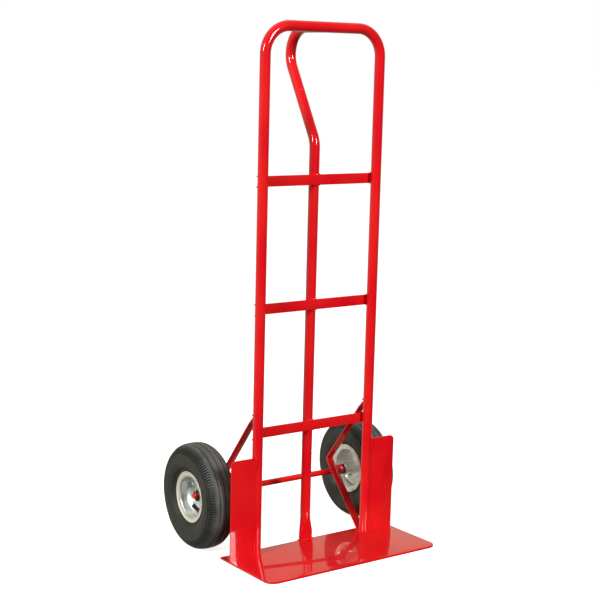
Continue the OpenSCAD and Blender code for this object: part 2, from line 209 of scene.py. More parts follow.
@contextmanager
def editing(piece, kind="FACE"):
    """Edit mode on one piece, with nothing selected at the start."""
    take(piece)
    bpy.ops.object.mode_set(mode="EDIT")
    bpy.ops.mesh.select_mode(type=kind)
    bpy.ops.mesh.select_all(action="DESELECT")
    yield piece
    bpy.ops.object.mode_set(mode="OBJECT")


def world_middle(part, place):
    if isinstance(part, bmesh.types.BMVert):
        return place @ part.co
    points = [place @ v.co for v in part.verts]
    return sum(points, Vector()) / len(points)


def pick(test, kind="faces"):
    """Selects the vertices, edges or faces that pass a test on their middle and themselves."""
    piece = bpy.context.edit_object
    bpy.ops.mesh.select_all(action="DESELECT")
    shape = bmesh.from_edit_mesh(piece.data)
    for part in getattr(shape, kind):
        if test(world_middle(part, piece.matrix_world), part):
            part.select_set(True)
    shape.select_flush_mode()
    bmesh.update_edit_mesh(piece.data)


def heal(distance=2e-6):
    """Merges doubled points and turns all faces outwards, in edit mode."""
    bpy.ops.mesh.select_all(action="SELECT")
    bpy.ops.mesh.remove_doubles(threshold=distance)
    bpy.ops.mesh.normals_make_consistent(inside=False)


def settle(piece):
    """Puts a piece's place into its mesh, so that its object sits at the origin."""
    take(piece)
    bpy.ops.object.transform_apply(location=True, rotation=True, scale=True)
    return piece


def lean_back(piece):
    """Leans a piece that was made upright, about the floor line under the rails."""
    settle(piece)
    piece.rotation_euler = (LEAN, 0, 0)
    return settle(piece)


def trim_at_plate(piece):
    """Cuts off what reaches below the top of the toe plate, and closes the cut."""
    with editing(piece):
        bpy.ops.mesh.select_all(action="SELECT")
        bpy.ops.mesh.bisect(
            plane_co=(0, 0, PLATE_TOP), plane_no=(0, 0, 1), use_fill=True, clear_inner=True
        )
    return piece


def modify(piece, kind, **settings):
    """Adds a modifier with its settings and applies it."""
    take(piece)
    tool = piece.modifiers.new(kind.title(), kind)
    for name, value in settings.items():
        setattr(tool, name, value)
    bpy.ops.object.modifier_apply(modifier=tool.name)
    return piece


def soften_edges(piece, radius, segments=2, sharper_than=40):
    return modify(
        piece,
        "BEVEL",
        width=radius,
        segments=segments,
        limit_method="ANGLE",
        angle_limit=math.radians(sharper_than),
        use_clamp_overlap=True,
    )


def smooth(piece, degrees=35):
    take(piece)
    bpy.ops.object.shade_smooth_by_angle(angle=math.radians(degrees))
    return piece


def join(name, pieces):
    deselect_all()
    for piece in pieces:
        piece.select_set(True)
    bpy.context.view_layer.objects.active = pieces[0]
    if len(pieces) > 1:
        bpy.ops.object.join()
    pieces[0].name = name
    pieces[0].data.name = name
    return pieces[0]


def copy_of(piece, name):
    """A copy with its own mesh."""
    copy = piece.copy()
    copy.data = piece.data.copy()
    copy.name = name
    copy.data.name = name
    bpy.context.scene.collection.objects.link(copy)
    return copy


def mirrored(piece, name):
    """The same piece for the other side of the truck, with its faces turned out again."""
    copy = settle(copy_of(piece, name))
    copy.scale = (-1, 1, 1)
    settle(copy)
    with editing(copy):
        bpy.ops.mesh.select_all(action="SELECT")
        bpy.ops.mesh.normals_make_consistent(inside=False)
    return copy


def hand_over(piece, body, slot, material, *nodes):
    """Gives a finished piece its finish and its body, and hides the CAD nodes that it stands for."""
    settle(piece)
    piece.data.materials.clear()
    piece.data.materials.append(material)
    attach(piece, body)
    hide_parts(*nodes)


def hand_over_pair(right_piece, part, slot, material, body=None):
    """Finishes a piece of the right-hand side and its mirrored copy on the left."""
    left_piece = mirrored(right_piece, f"left_{part}_detail")
    right_piece.name = f"right_{part}_detail"
    for side, piece in (("left", left_piece), ("right", right_piece)):
        smooth(piece)
        hand_over(piece, body or f"{side}_wheel", slot, material, f"{side}_{part}")


def start_ring(name, place, heading, radius, sides):
    """A circle across a heading; it is left in edit mode, selected and ready to extrude."""
    deselect_all()
    turn = Z.rotation_difference(heading).to_euler()
    bpy.ops.mesh.primitive_circle_add(
        vertices=sides, radius=radius, location=place, rotation=turn, fill_type="NGON"
    )
    return enter_section(name)


def start_strip(name, place, wide, thick, across, rounding):
    """A rounded rectangle, wide along X and thick along another direction, ready to extrude."""
    deselect_all()
    turn = Y.rotation_difference(across).to_euler()
    bpy.ops.mesh.primitive_plane_add(size=1, location=place, rotation=turn)
    bpy.context.object.scale = (wide, thick, 1)
    bpy.ops.object.transform_apply(location=False, rotation=False, scale=True)
    section = enter_section(name)
    bpy.ops.mesh.bevel(offset=rounding, segments=2, affect="VERTICES")
    bpy.ops.mesh.select_all(action="SELECT")
    return section


def enter_section(name):
    section = bpy.context.object
    section.name = name
    section.data.name = name
    bpy.ops.object.mode_set(mode="EDIT")
    bpy.ops.mesh.select_mode(type="VERT")
    bpy.ops.mesh.select_all(action="SELECT")
    return section


class Bender:
    """Draws a section along runs and bends in one plane, as a tube bender does."""

    def __init__(self, section, place, heading, plane):
        self.section = section
        self.place = Vector(place)
        self.heading = Vector(heading).normalized()
        self.plane = Vector(plane).normalized()

    def run(self, distance, steps=1):
        for _ in range(steps):
            step = self.heading * distance / steps
            bpy.ops.mesh.extrude_region_move(TRANSFORM_OT_translate={"value": step})
            self.place += step
        return self

    def bend(self, degrees, radius, steps=24):
        turn = math.radians(degrees)
        centre = self.place + math.copysign(radius, turn) * self.plane.cross(self.heading)
        bpy.ops.mesh.spin(steps=steps, angle=-turn, center=centre, axis=self.plane)
        rotation = Matrix.Rotation(turn, 3, self.plane)
        self.place = centre + rotation @ (self.place - centre)
        self.heading = rotation @ self.heading
        return self

    def done(self):
        heal()
        bpy.ops.object.mode_set(mode="OBJECT")
        return self.section


def draw_outline(name, points):
    """A closed line of edges through the points, drawn point by point."""
    deselect_all()
    bpy.ops.mesh.primitive_plane_add(size=0.001, location=points[0])
    outline = bpy.context.object
    outline.name = name
    outline.data.name = name
    bpy.ops.object.mode_set(mode="EDIT")
    bpy.ops.mesh.select_mode(type="VERT")
    bpy.ops.mesh.select_all(action="SELECT")
    bpy.ops.mesh.merge(type="CENTER")
    for here, there in zip(points, points[1:]):
        bpy.ops.mesh.extrude_vertices_move(TRANSFORM_OT_translate={"value": there - here})
    bpy.ops.object.mode_set(mode="OBJECT")
    return outline


def turn_on_lathe(name, profile, sides, closed=True, centre=WHEEL):
    """Spins a profile of (distance along the axle, radius) points round the axle."""
    points = [centre + Vector((along, 0, radius)) for along, radius in profile]
    if closed:
        points.append(points[0])
    turned = draw_outline(name, points)
    with editing(turned, "VERT"):
        bpy.ops.mesh.select_all(action="SELECT")
        bpy.ops.mesh.spin(steps=sides, angle=math.tau, center=centre, axis=X)
        heal()
    return turned


def arc(centre, radius, start, end, steps):
    """Points of an arc in the profile plane, its angles in degrees from +X."""
    turns = [math.radians(start + (end - start) * k / steps) for k in range(steps + 1)]
    return [(centre[0] + radius * math.cos(a), centre[1] + radius * math.sin(a)) for a in turns]


# ------------------------------------------------------------------ shader groups


class Group:
    """A shader node group with named sockets; shared_group uses a group that exists already again."""

    def __init__(self, name, inputs, outputs):
        self.tree = bpy.data.node_groups.new(name, "ShaderNodeTree")
        for socket, kind, default in inputs:
            made = self.tree.interface.new_socket(socket, in_out="INPUT", socket_type=kind)
            made.default_value = default
        for socket, kind in outputs:
            self.tree.interface.new_socket(socket, in_out="OUTPUT", socket_type=kind)
        self.source = self.tree.nodes.new("NodeGroupInput")
        self.result = self.tree.nodes.new("NodeGroupOutput")

    def wire(self, start, end):
        self.tree.links.new(start, end)


def math_node(tree, operation, first, second=None):
    node = tree.nodes.new("ShaderNodeMath")
    node.operation = operation
    for socket, value in zip(node.inputs, (first, second)):
        if value is None:
            continue
        if isinstance(value, bpy.types.NodeSocket):
            tree.links.new(value, socket)
        else:
            socket.default_value = value
    return node.outputs[0]


def noise(tree, where, scale, detail=3, roughness=0.5):
    node = tree.nodes.new("ShaderNodeTexNoise")
    tree.links.new(where, node.inputs["Vector"])
    node.inputs["Scale"].default_value = scale
    node.inputs["Detail"].default_value = detail
    node.inputs["Roughness"].default_value = roughness
    return node.outputs["Fac"]


def remap(tree, value, low, high, to_low=0.0, to_high=1.0):
    node = tree.nodes.new("ShaderNodeMapRange")
    node.interpolation_type = "SMOOTHSTEP"
    for name, number in zip(("From Min", "From Max", "To Min", "To Max"), (low, high, to_low, to_high)):
        node.inputs[name].default_value = number
    tree.links.new(value, node.inputs["Value"])
    return node.outputs["Result"]


def blend_colours(tree, share, first, second):
    node = tree.nodes.new("ShaderNodeMix")
    node.data_type = "RGBA"
    for socket, value in ((node.inputs[0], share), (node.inputs[6], first), (node.inputs[7], second)):
        if isinstance(value, bpy.types.NodeSocket):
            tree.links.new(value, socket)
        else:
            socket.default_value = value
    return node.outputs[2]


def cloud_group():
    """Soft large clouds and fine grain, for slow changes of tone and gloss."""
    group = Group(
        "Tone Clouds",
        [("Vector", "NodeSocketVector", (0, 0, 0)), ("Cloud Scale", "NodeSocketFloat", 12.0),
         ("Grain Scale", "NodeSocketFloat", 900.0)],
        [("Cloud", "NodeSocketFloat"), ("Grain", "NodeSocketFloat")],
    )
    for name, detail, low, high in (("Cloud", 4, 0.35, 0.65), ("Grain", 2, 0.3, 0.7)):
        texture = group.tree.nodes.new("ShaderNodeTexNoise")
        texture.inputs["Detail"].default_value = detail
        group.wire(group.source.outputs["Vector"], texture.inputs["Vector"])
        group.wire(group.source.outputs[f"{name} Scale"], texture.inputs["Scale"])
        group.wire(remap(group.tree, texture.outputs["Fac"], low, high), group.result.inputs[name])
    return group.tree


def scratch_group():
    """Thin hairlines that run in two crossed directions, with gaps."""
    group = Group(
        "Hairline Scratches",
        [("Vector", "NodeSocketVector", (0, 0, 0)), ("Scale", "NodeSocketFloat", 60.0),
         ("Thinness", "NodeSocketFloat", 0.02)],
        [("Scratches", "NodeSocketFloat")],
    )
    tree = group.tree
    lines = []
    for turn in (0.5, 1.9):
        place = tree.nodes.new("ShaderNodeMapping")
        place.inputs["Rotation"].default_value = (turn, turn * 0.7, turn * 1.3)
        place.inputs["Scale"].default_value = (1, 0.06, 1)
        group.wire(group.source.outputs["Vector"], place.inputs["Vector"])
        cells = tree.nodes.new("ShaderNodeTexVoronoi")
        cells.feature = "DISTANCE_TO_EDGE"
        group.wire(place.outputs["Vector"], cells.inputs["Vector"])
        group.wire(group.source.outputs["Scale"], cells.inputs["Scale"])
        line = math_node(tree, "LESS_THAN", cells.outputs["Distance"], group.source.outputs["Thinness"])
        gaps = remap(tree, noise(tree, group.source.outputs["Vector"], 35 + 20 * turn), 0.52, 0.62)
        lines.append(math_node(tree, "MULTIPLY", line, gaps))
    group.wire(math_node(tree, "MAXIMUM", *lines), group.result.inputs["Scratches"])
    return tree


def radius_group():
    """Distance from the wheel's axis and angle round it, for rings on turned parts."""
    group = Group(
        "Place On Wheel",
        [("Vector", "NodeSocketVector", (0, 0, 0)), ("Axis", "NodeSocketVector", tuple(AXLE))],
        [("Radius", "NodeSocketFloat"), ("Angle", "NodeSocketFloat")],
    )
    tree = group.tree
    offset = tree.nodes.new("ShaderNodeVectorMath")
    offset.operation = "SUBTRACT"
    group.wire(group.source.outputs["Vector"], offset.inputs[0])
    group.wire(group.source.outputs["Axis"], offset.inputs[1])
    parts = tree.nodes.new("ShaderNodeSeparateXYZ")
    group.wire(offset.outputs[0], parts.inputs[0])
    squares = [math_node(tree, "MULTIPLY", parts.outputs[k], parts.outputs[k]) for k in (1, 2)]
    total = math_node(tree, "ADD", *squares)
    group.wire(math_node(tree, "SQRT", total), group.result.inputs["Radius"])
    group.wire(math_node(tree, "ARCTAN2", parts.outputs[2], parts.outputs[1]), group.result.inputs["Angle"])
    return tree


class Finish:
    """One material: a Principled shader, object coordinates and the shared groups."""

    def __init__(self, name, **constants):
        self.material = bpy.data.materials.new(name)
        self.material.use_nodes = True
        self.tree = self.material.node_tree
        self.shader = self.tree.nodes["Principled BSDF"]
        for socket, value in constants.items():
            self.shader.inputs[socket.replace("_", " ")].default_value = value
        self.where = self.tree.nodes.new("ShaderNodeTexCoord").outputs["Object"]

    def use(self, group, **values):
        node = self.tree.nodes.new("ShaderNodeGroup")
        node.node_tree = shared_group(group)
        self.tree.links.new(self.where, node.inputs["Vector"])
        for socket, value in values.items():
            node.inputs[socket.replace("_", " ")].default_value = value
        return node.outputs

    def feed(self, socket, value):
        self.tree.links.new(value, self.shader.inputs[socket])

    def bump(self, *layers):
        """Stacks bump layers of (height, strength, distance)."""
        normal = None
        for height, strength, distance in layers:
            node = self.tree.nodes.new("ShaderNodeBump")
            node.inputs["Strength"].default_value = strength
            node.inputs["Distance"].default_value = distance
            self.tree.links.new(height, node.inputs["Height"])
            if normal:
                self.tree.links.new(normal, node.inputs["Normal"])
            normal = node.outputs["Normal"]
        self.feed("Normal", normal)


GROUP_MAKERS = {
    "Tone Clouds": cloud_group,
    "Hairline Scratches": scratch_group,
    "Place On Wheel": radius_group,
}


def shared_group(name):
    return bpy.data.node_groups.get(name) or GROUP_MAKERS[name]()


# ------------------------------------------------------------------- materials


def red_powder_coat():
    """Glossy red powder coat with a slight orange peel."""
    finish = Finish(
        "Red powder coat", Coat_Weight=1.0, Coat_Roughness=0.035, Coat_IOR=1.5, Specular_IOR_Level=0.06
    )
    tree = finish.tree
    tone = finish.use("Tone Clouds", Cloud_Scale=7.0, Grain_Scale=1400.0)
    finish.feed("Base Color", blend_colours(tree, tone["Cloud"], colours().paint, colours().paint_warm))
    finish.feed("Roughness", remap(tree, tone["Grain"], 0, 1, 0.26, 0.36))
    peel = noise(tree, finish.where, 420, detail=1)
    waves = noise(tree, finish.where, 60, detail=1)
    finish.bump((waves, 0.06, 0.0006), (peel, 0.05, 0.0002))
    return finish.material


def plated_rim():
    """Zinc-plated pressed steel: clouded grey, with spinning marks and hairlines, and a cream painted
    reflection on the outer lip.
    """
    finish = Finish("Plated rim")
    tree = finish.tree
    tone = finish.use("Tone Clouds", Cloud_Scale=42.0, Grain_Scale=600.0)
    place = finish.use("Place On Wheel")
    scratches = finish.use("Hairline Scratches", Scale=70.0, Thinness=0.018)["Scratches"]
    pale = tuple(min(1, 1.2 * c) for c in colours().zinc[:3]) + (1,)
    base = blend_colours(tree, tone["Cloud"], colours().zinc, pale)
    # Painted reflection: towards the outer lip the colour turns cream, less metallic and rougher, standing in
    # for the bright reflection on the lip
    lip = remap(tree, place["Radius"], RIM_R - 0.012, RIM_R - 0.004)
    base = blend_colours(tree, lip, base, colours().lip_reflection_cream)
    finish.feed("Metallic", remap(tree, lip, 0, 1, 1.0, 0.5))
    dark = tuple(0.45 * c for c in colours().zinc[:3]) + (1,)
    finish.feed("Base Color", blend_colours(tree, math_node(tree, "MULTIPLY", scratches, 0.5), base, dark))
    rough = remap(tree, tone["Cloud"], 0, 1, 0.34, 0.48)
    finish.feed("Roughness", math_node(tree, "ADD", rough, math_node(tree, "MULTIPLY", lip, 0.12)))
    rings = math_node(tree, "SINE", math_node(tree, "MULTIPLY", place["Radius"], 5200))
    finish.bump((tone["Grain"], 0.10, 0.0003), (rings, 0.03, 0.0002))
    return finish.material


def plated_steel(name, shade, low, high, grain):
    """Plated or ground steel of small turned and stamped parts."""
    finish = Finish(name, Metallic=1.0)
    tree = finish.tree
    tone = finish.use("Tone Clouds", Cloud_Scale=160.0, Grain_Scale=grain)
    pale = tuple(min(1, 1.25 * c) for c in shade[:3]) + (1,)
    finish.feed("Base Color", blend_colours(tree, tone["Cloud"], shade, pale))
    finish.feed("Roughness", remap(tree, tone["Grain"], 0, 1, low, high))
    finish.bump((tone["Grain"], 0.08, 0.0002))
    return finish.material


def tyre_rubber():
    """Satin black rubber: moulded rings on the sidewall, fine grain, a dull pale dusty film all over, and a
    painted sheen on the tread that leaves the slots darker as painted shade.
    """
    finish = Finish("Tyre rubber", Specular_IOR_Level=0.38)
    tree = finish.tree
    tone = finish.use("Tone Clouds", Cloud_Scale=26.0, Grain_Scale=1100.0)
    place = finish.use("Place On Wheel")
    # Painted sheen: near the outer radius the tread gets a lighter tone, and the slots and sidewall below
    # stay darker as painted shade; the 0.12 on the next line is a dusty film all over
    painted_tread_sheen = remap(tree, place["Radius"], WHEEL_R - 0.014, WHEEL_R - 0.003)
    share = math_node(tree, "ADD", math_node(tree, "MULTIPLY", painted_tread_sheen, 0.80), 0.12)
    worn = remap(tree, tone["Cloud"], 0, 1, 0.55, 1.0)
    # Random wear clouds times the share: a dusty film plus the painted tread sheen
    bloom_and_sheen = math_node(tree, "MULTIPLY", worn, share)
    finish.feed("Base Color", blend_colours(tree, bloom_and_sheen, colours().tyre, colours().tyre_dust_and_sheen))
    finish.feed("Roughness", remap(tree, tone["Cloud"], 0, 1, 0.42, 0.60))
    rings = math_node(tree, "SINE", math_node(tree, "MULTIPLY", place["Radius"], 2600))
    sidewall = math_node(tree, "SUBTRACT", 1.0, remap(tree, place["Radius"], 0.098, 0.104))
    finish.bump(
        (math_node(tree, "MULTIPLY", rings, sidewall), 0.22, 0.0004),
        (tone["Grain"], 0.22, 0.0003),
    )
    return finish.material


def soft_rubber(name, shade, low, high):
    """Smooth moulded rubber with a fine grain."""
    finish = Finish(name, Specular_IOR_Level=0.5)
    tree = finish.tree
    tone = finish.use("Tone Clouds", Cloud_Scale=90.0, Grain_Scale=1300.0)
    pale = tuple(2.2 * c for c in shade[:3]) + (1,)
    half_cloud = math_node(tree, "MULTIPLY", tone["Cloud"], 0.5)
    finish.feed("Base Color", blend_colours(tree, half_cloud, shade, pale))
    finish.feed("Roughness", remap(tree, tone["Cloud"], 0, 1, low, high))
    finish.bump((tone["Grain"], 0.15, 0.0002))
    return finish.material


MATERIAL_MAKERS = {
    "Red powder coat": red_powder_coat,
    "Plated rim": plated_rim,
    "Fastener steel": lambda: plated_steel("Fastener steel", colours().steel, 0.18, 0.34, 800.0),
    # Near-black steel for the washers: painted shade for the dark gaps beside the collars and round the axle
    # ends
    "Blackened steel": lambda: plated_steel("Blackened steel", colours().washer, 0.30, 0.45, 800.0),
    "Bearing steel": lambda: plated_steel("Bearing steel", colours().bearing, 0.08, 0.16, 1500.0),
    "Tyre rubber": tyre_rubber,
    "Inner tube rubber": lambda: soft_rubber("Inner tube rubber", colours().inner_tube, 0.45, 0.6),
    "Valve rubber": lambda: soft_rubber("Valve rubber", colours().valve, 0.30, 0.45),
}


def material(name):
    return bpy.data.materials.get(name) or MATERIAL_MAKERS[name]()


# ----------------------------------------------------------------- frame's pieces

TUBE_SIDES = 64
FOOT_H = 0.075
BLADE_H = 0.018
BELOW = 2 * TUBE_R


def centre_y():
    """Distance of the centre tube's axis behind the rails' plane."""
    return 2 * TUBE_R + sizes().bar_thickness


def block(name, low, high):
    """A cube between two corners."""
    deselect_all()
    low, high = Vector(low), Vector(high)
    bpy.ops.mesh.primitive_cube_add(size=1, location=(low + high) / 2, scale=high - low)
    piece = bpy.context.object
    piece.name = name
    return settle(piece)


def round_edges(piece, test, radius, segments):
    """Bevels the edges of a piece that pass a test on their middle and direction."""
    with editing(piece, "EDGE"):
        pick(lambda place, edge: test(place, (edge.verts[1].co - edge.verts[0].co).normalized()), "edges")
        bpy.ops.mesh.bevel(offset=radius, segments=segments, affect="EDGES")
    return piece


def red_piece(piece, *nodes, degrees=35):
    smooth(piece, degrees)
    hand_over(piece, "frame", "red_paint", material("Red powder coat"), *nodes)


class HANDTRUCK_OT_main_loop(bpy.types.Operator):
    """Bend the upside-down U of the two rails and the top bar"""

    bl_idname = "hand_truck.main_loop"
    bl_label = "Main Loop Tube"

    def execute(self, context):
        corner = sizes().corner_radius
        start = Vector((-RAIL_X, 0, -BELOW))
        tube = Bender(start_ring("main_loop_detail", start, Z, TUBE_R, TUBE_SIDES), start, Z, Y)
        tube.run(BELOW + LOOP_H - corner, 8).bend(90, corner)
        tube.run(2 * (RAIL_X - corner), 3).bend(90, corner)
        tube.run(BELOW + LOOP_H - corner, 8)
        red_piece(trim_at_plate(lean_back(tube.done())), "main_loop_tube")
        return {"FINISHED"}


def blend(first, second, share):
    return first + (second - first) * share


def ease(share):
    share = min(1, max(0, share))
    return share * share * (3 - 2 * share)


def press_foot(piece):
    """Draws the foot of the centre tube down and presses it flat from both sides."""
    size = sizes()
    steps = 18
    back = PLATE_BACK - 0.0005
    front = back - size.foot_thickness
    rings = []
    for k in range(steps + 1):
        share = k / steps
        height = blend(FOOT_H, BLADE_H, share)
        wide = blend(TUBE_R, size.foot_width / 2, ease(share * 1.1 - 0.1))
        deep = blend(TUBE_R, size.foot_thickness * 1.3, ease(share))
        middle = blend(centre_y(), (front + back) / 2, ease(share))
        rings.append((height, wide, deep, middle))
    with editing(piece, "FACE"):
        pick(lambda place, face: place.z < FOOT_H + 1e-5 and abs(face.normal.z) > 0.9)
        for (high, wide, deep, middle), (low, wider, thinner, moved) in zip(rings, rings[1:]):
            drop = Vector((0, moved - middle, low - high))
            bpy.ops.mesh.extrude_region_move(TRANSFORM_OT_translate={"value": drop})
            bpy.ops.transform.resize(value=(wider / wide, thinner / deep, 1), center_override=(0, moved, low))
        bpy.ops.mesh.extrude_region_move(TRANSFORM_OT_translate={"value": (0, 0, -BLADE_H - BELOW)})
        bpy.ops.mesh.select_mode(type="VERT")
        crease_top, crease_end = FOOT_H - 0.012, BLADE_H + 0.005
        for height, _, _, _ in rings + [(-BELOW, 0, 0, 0)]:
            share = min(1, max(0, (crease_top - height) / (crease_top - crease_end)))
            front_limit = blend(centre_y() - TUBE_R, front, share)
            back_limit = blend(centre_y() + TUBE_R, back, ease(share))
            for side, limit in ((-1, front_limit), (1, back_limit)):
                pick(lambda p, v: abs(p.z - height) < 1e-5 and side * (p.y - limit) > 0, "verts")
                bpy.ops.transform.resize(value=(1, 0, 1), center_override=(0, limit, height))
        heal()
    return piece


class HANDTRUCK_OT_centre_tube(bpy.types.Operator):
    """Bend the centre tube with its rear grip and press its foot flat"""

    bl_idname = "hand_truck.centre_tube"
    bl_label = "Centre Tube and Handle"

    def execute(self, context):
        size = sizes()
        slope = math.degrees(size.handle_slope)
        start = Vector((0, centre_y(), FOOT_H))
        tube = Bender(start_ring("centre_handle_detail", start, Z, TUBE_R, TUBE_SIDES), start, Z, X)
        tube.run(size.handle_start - FOOT_H, 6).bend(-slope, size.lower_bend, 10)
        rise = LOOP_H - size.upper_bend * (1 + math.sin(size.handle_slope)) - tube.place.z
        tube.run(rise / math.cos(size.handle_slope), 2).bend(90 + slope, size.upper_bend, 32)
        tube.run(tube.place.y)
        piece = press_foot(tube.done())
        red_piece(trim_at_plate(lean_back(piece)), "centre_handle_tube", degrees=10)
        return {"FINISHED"}


class HANDTRUCK_OT_crossbars(bpy.types.Operator):
    """Cut the three flat crossbars and soften their edges"""

    bl_idname = "hand_truck.crossbars"
    bl_label = "Crossbars"

    def execute(self, context):
        size = sizes()
        for level, name in enumerate(("lower_crossbar", "middle_crossbar", "upper_crossbar"), start=1):
            low = (-RAIL_X, TUBE_R, level * BAR_PITCH - size.bar_height / 2)
            high = (RAIL_X, TUBE_R + size.bar_thickness, level * BAR_PITCH + size.bar_height / 2)
            bar = block(f"{name}_detail", low, high)
            with editing(bar):
                pick(lambda place, face: abs(face.normal.y) > 0.9)
                bpy.ops.mesh.subdivide(number_cuts=1)
            lean_back(bar)
            red_piece(soften_edges(bar, size.edge_radius, 3), name)
        return {"FINISHED"}


class HANDTRUCK_OT_toe_plate(bpy.types.Operator):
    """Cut the toe plate, round its corners and soften its edges"""

    bl_idname = "hand_truck.toe_plate"
    bl_label = "Toe Plate"

    def execute(self, context):
        size = sizes()
        low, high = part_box("toe_plate")
        plate = block("toe_plate_detail", low, high)
        round_edges(plate, lambda p, d: abs(d.z) > 0.9 and p.y < 0, size.plate_corner, 14)
        round_edges(plate, lambda p, d: abs(d.z) > 0.9 and p.y > high.y - 1e-5, 0.002, 3)
        red_piece(soften_edges(plate, size.plate_edge, 4), "toe_plate")
        return {"FINISHED"}


class HANDTRUCK_OT_wheel_guards(bpy.types.Operator):
    """Cut the two flat wheel guards and stand them beside the rails"""

    bl_idname = "hand_truck.wheel_guards"
    bl_label = "Wheel Guards"

    def execute(self, context):
        size = sizes()
        half = size.guard_thickness / 2
        low = (RAIL_X + TUBE_R / 3, -size.guard_offset - half, -BELOW)
        high = (GUARD_REACH, half - size.guard_offset, GUARD_H)
        guard = block("right_guard_detail", low, high)

        def upper_corner(p, d):
            return abs(d.y) > 0.9 and p.x > GUARD_REACH - 1e-5 and p.z > GUARD_H - 1e-5

        round_edges(guard, upper_corner, size.guard_corner, 8)
        soften_edges(guard, size.edge_radius, 3)
        trim_at_plate(lean_back(guard))
        red_piece(mirrored(guard, "left_guard_detail"), "left_wheel_guard")
        red_piece(guard, "right_wheel_guard")
        return {"FINISHED"}


def follow(bar, points, radius, steps=6):
    """Runs a bender from point to point, with an arc in every corner."""
    for before, corner, after in zip(points, points[1:], points[2:]):
        heading, next_heading = (corner - before).normalized(), (after - corner).normalized()
        turn = math.atan2(heading.cross(next_heading).dot(bar.plane), heading.dot(next_heading))
        bar.run((corner - bar.place).length - radius * math.tan(abs(turn) / 2))
        bar.bend(math.degrees(turn), radius, steps)
    bar.run((points[-1] - bar.place).length)
    return bar.done()


BRACKET_EDGE = 0.0009
BRACKET_BEND = 0.0055


class HANDTRUCK_OT_axle_brackets(bpy.types.Operator):
    """Bend the two flat bars that hold the axle behind the rails"""

    bl_idname = "hand_truck.axle_brackets"
    bl_label = "Axle Brackets"

    def execute(self, context):
        size = sizes()
        along = Vector((0, math.cos(size.bracket_slope), math.sin(size.bracket_slope)))
        out = Vector((0, -along.z, along.y))
        touch = Vector((RAIL_X, AXLE.y, AXLE.z)) + (AXLE_R + size.bracket_thickness / 2) * out
        points = [
            touch - 0.190 * along,
            touch + 0.033 * along,
            Vector((RAIL_X, 0.0105, 0.326)),
            Vector((RAIL_X, -0.008, 0.343)),
        ]
        section = (size.bracket_width, size.bracket_thickness, out, BRACKET_EDGE)
        strip = start_strip("right_bracket_detail", points[0], *section)
        bar = trim_at_plate(follow(Bender(strip, points[0], along, X), points, BRACKET_BEND))
        red_piece(mirrored(bar, "left_bracket_detail"), "left_axle_bracket")
        red_piece(bar, "right_axle_bracket")
        return {"FINISHED"}


def ring_profile(near, away, inner, outer, chamfer):
    """A rectangle in the profile plane with its four corners cut."""
    c = chamfer
    return [
        (near, inner + c), (near, outer - c), (near + c, outer), (away - c, outer),
        (away, outer - c), (away, inner + c), (away - c, inner), (near + c, inner),
    ]


class HANDTRUCK_OT_axle(bpy.types.Operator):
    """Turn the axle rod and the two spacer collars"""

    bl_idname = "hand_truck.axle"
    bl_label = "Axle and Collars"

    def execute(self, context):
        chamfer = 0.0012
        centre = Vector((0, AXLE.y, AXLE.z))
        ends = [(-AXLE_END, 0), (-AXLE_END, AXLE_R - chamfer), (chamfer - AXLE_END, AXLE_R)]
        profile = ends + [(-along, radius) for along, radius in reversed(ends)]
        rod = turn_on_lathe("axle_detail", profile, 48, closed=False, centre=centre)
        red_piece(rod, "axle")
        low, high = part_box("right_axle_collar")
        outer = sizes().collar_radius
        middle = (low.x + high.x) / 2
        bottom = outer - 0.0016
        groove = [
            (middle - 0.0022, outer), (middle - 0.0008, bottom), (middle + 0.0008, bottom),
            (middle + 0.0022, outer),
        ]
        profile = ring_profile(low.x, high.x, AXLE_R, outer, 0.0009)
        collar = turn_on_lathe("right_collar_detail", profile[:3] + groove + profile[3:], 64, centre=centre)
        red_piece(mirrored(collar, "left_collar_detail"), "left_axle_collar")
        red_piece(collar, "right_axle_collar")
        return {"FINISHED"}


class HANDTRUCK_OT_washers(bpy.types.Operator):
    """Punch the washers on both sides of each hub"""

    bl_idname = "hand_truck.washers"
    bl_label = "Washers"

    def execute(self, context):
        thick = 0.002
        centre = Vector((0, AXLE.y, AXLE.z))
        for node in ("inner_washers", "outer_washers"):
            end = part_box(node)[1].x
            profile = ring_profile(end - thick, end, AXLE_R + 0.00025, size_of(node).z / 2, 0.0004)
            washer = turn_on_lathe(f"{node}_detail", profile, 64, centre=centre)
            pair = join(f"{node}_detail", [washer, mirrored(washer, "other_washer")])
            smooth(pair)
            # The washers get the near-black steel, painted shade for the gaps beside the collars and hubs
            hand_over(pair, "frame", "fastener_steel", material("Blackened steel"), node)
        return {"FINISHED"}


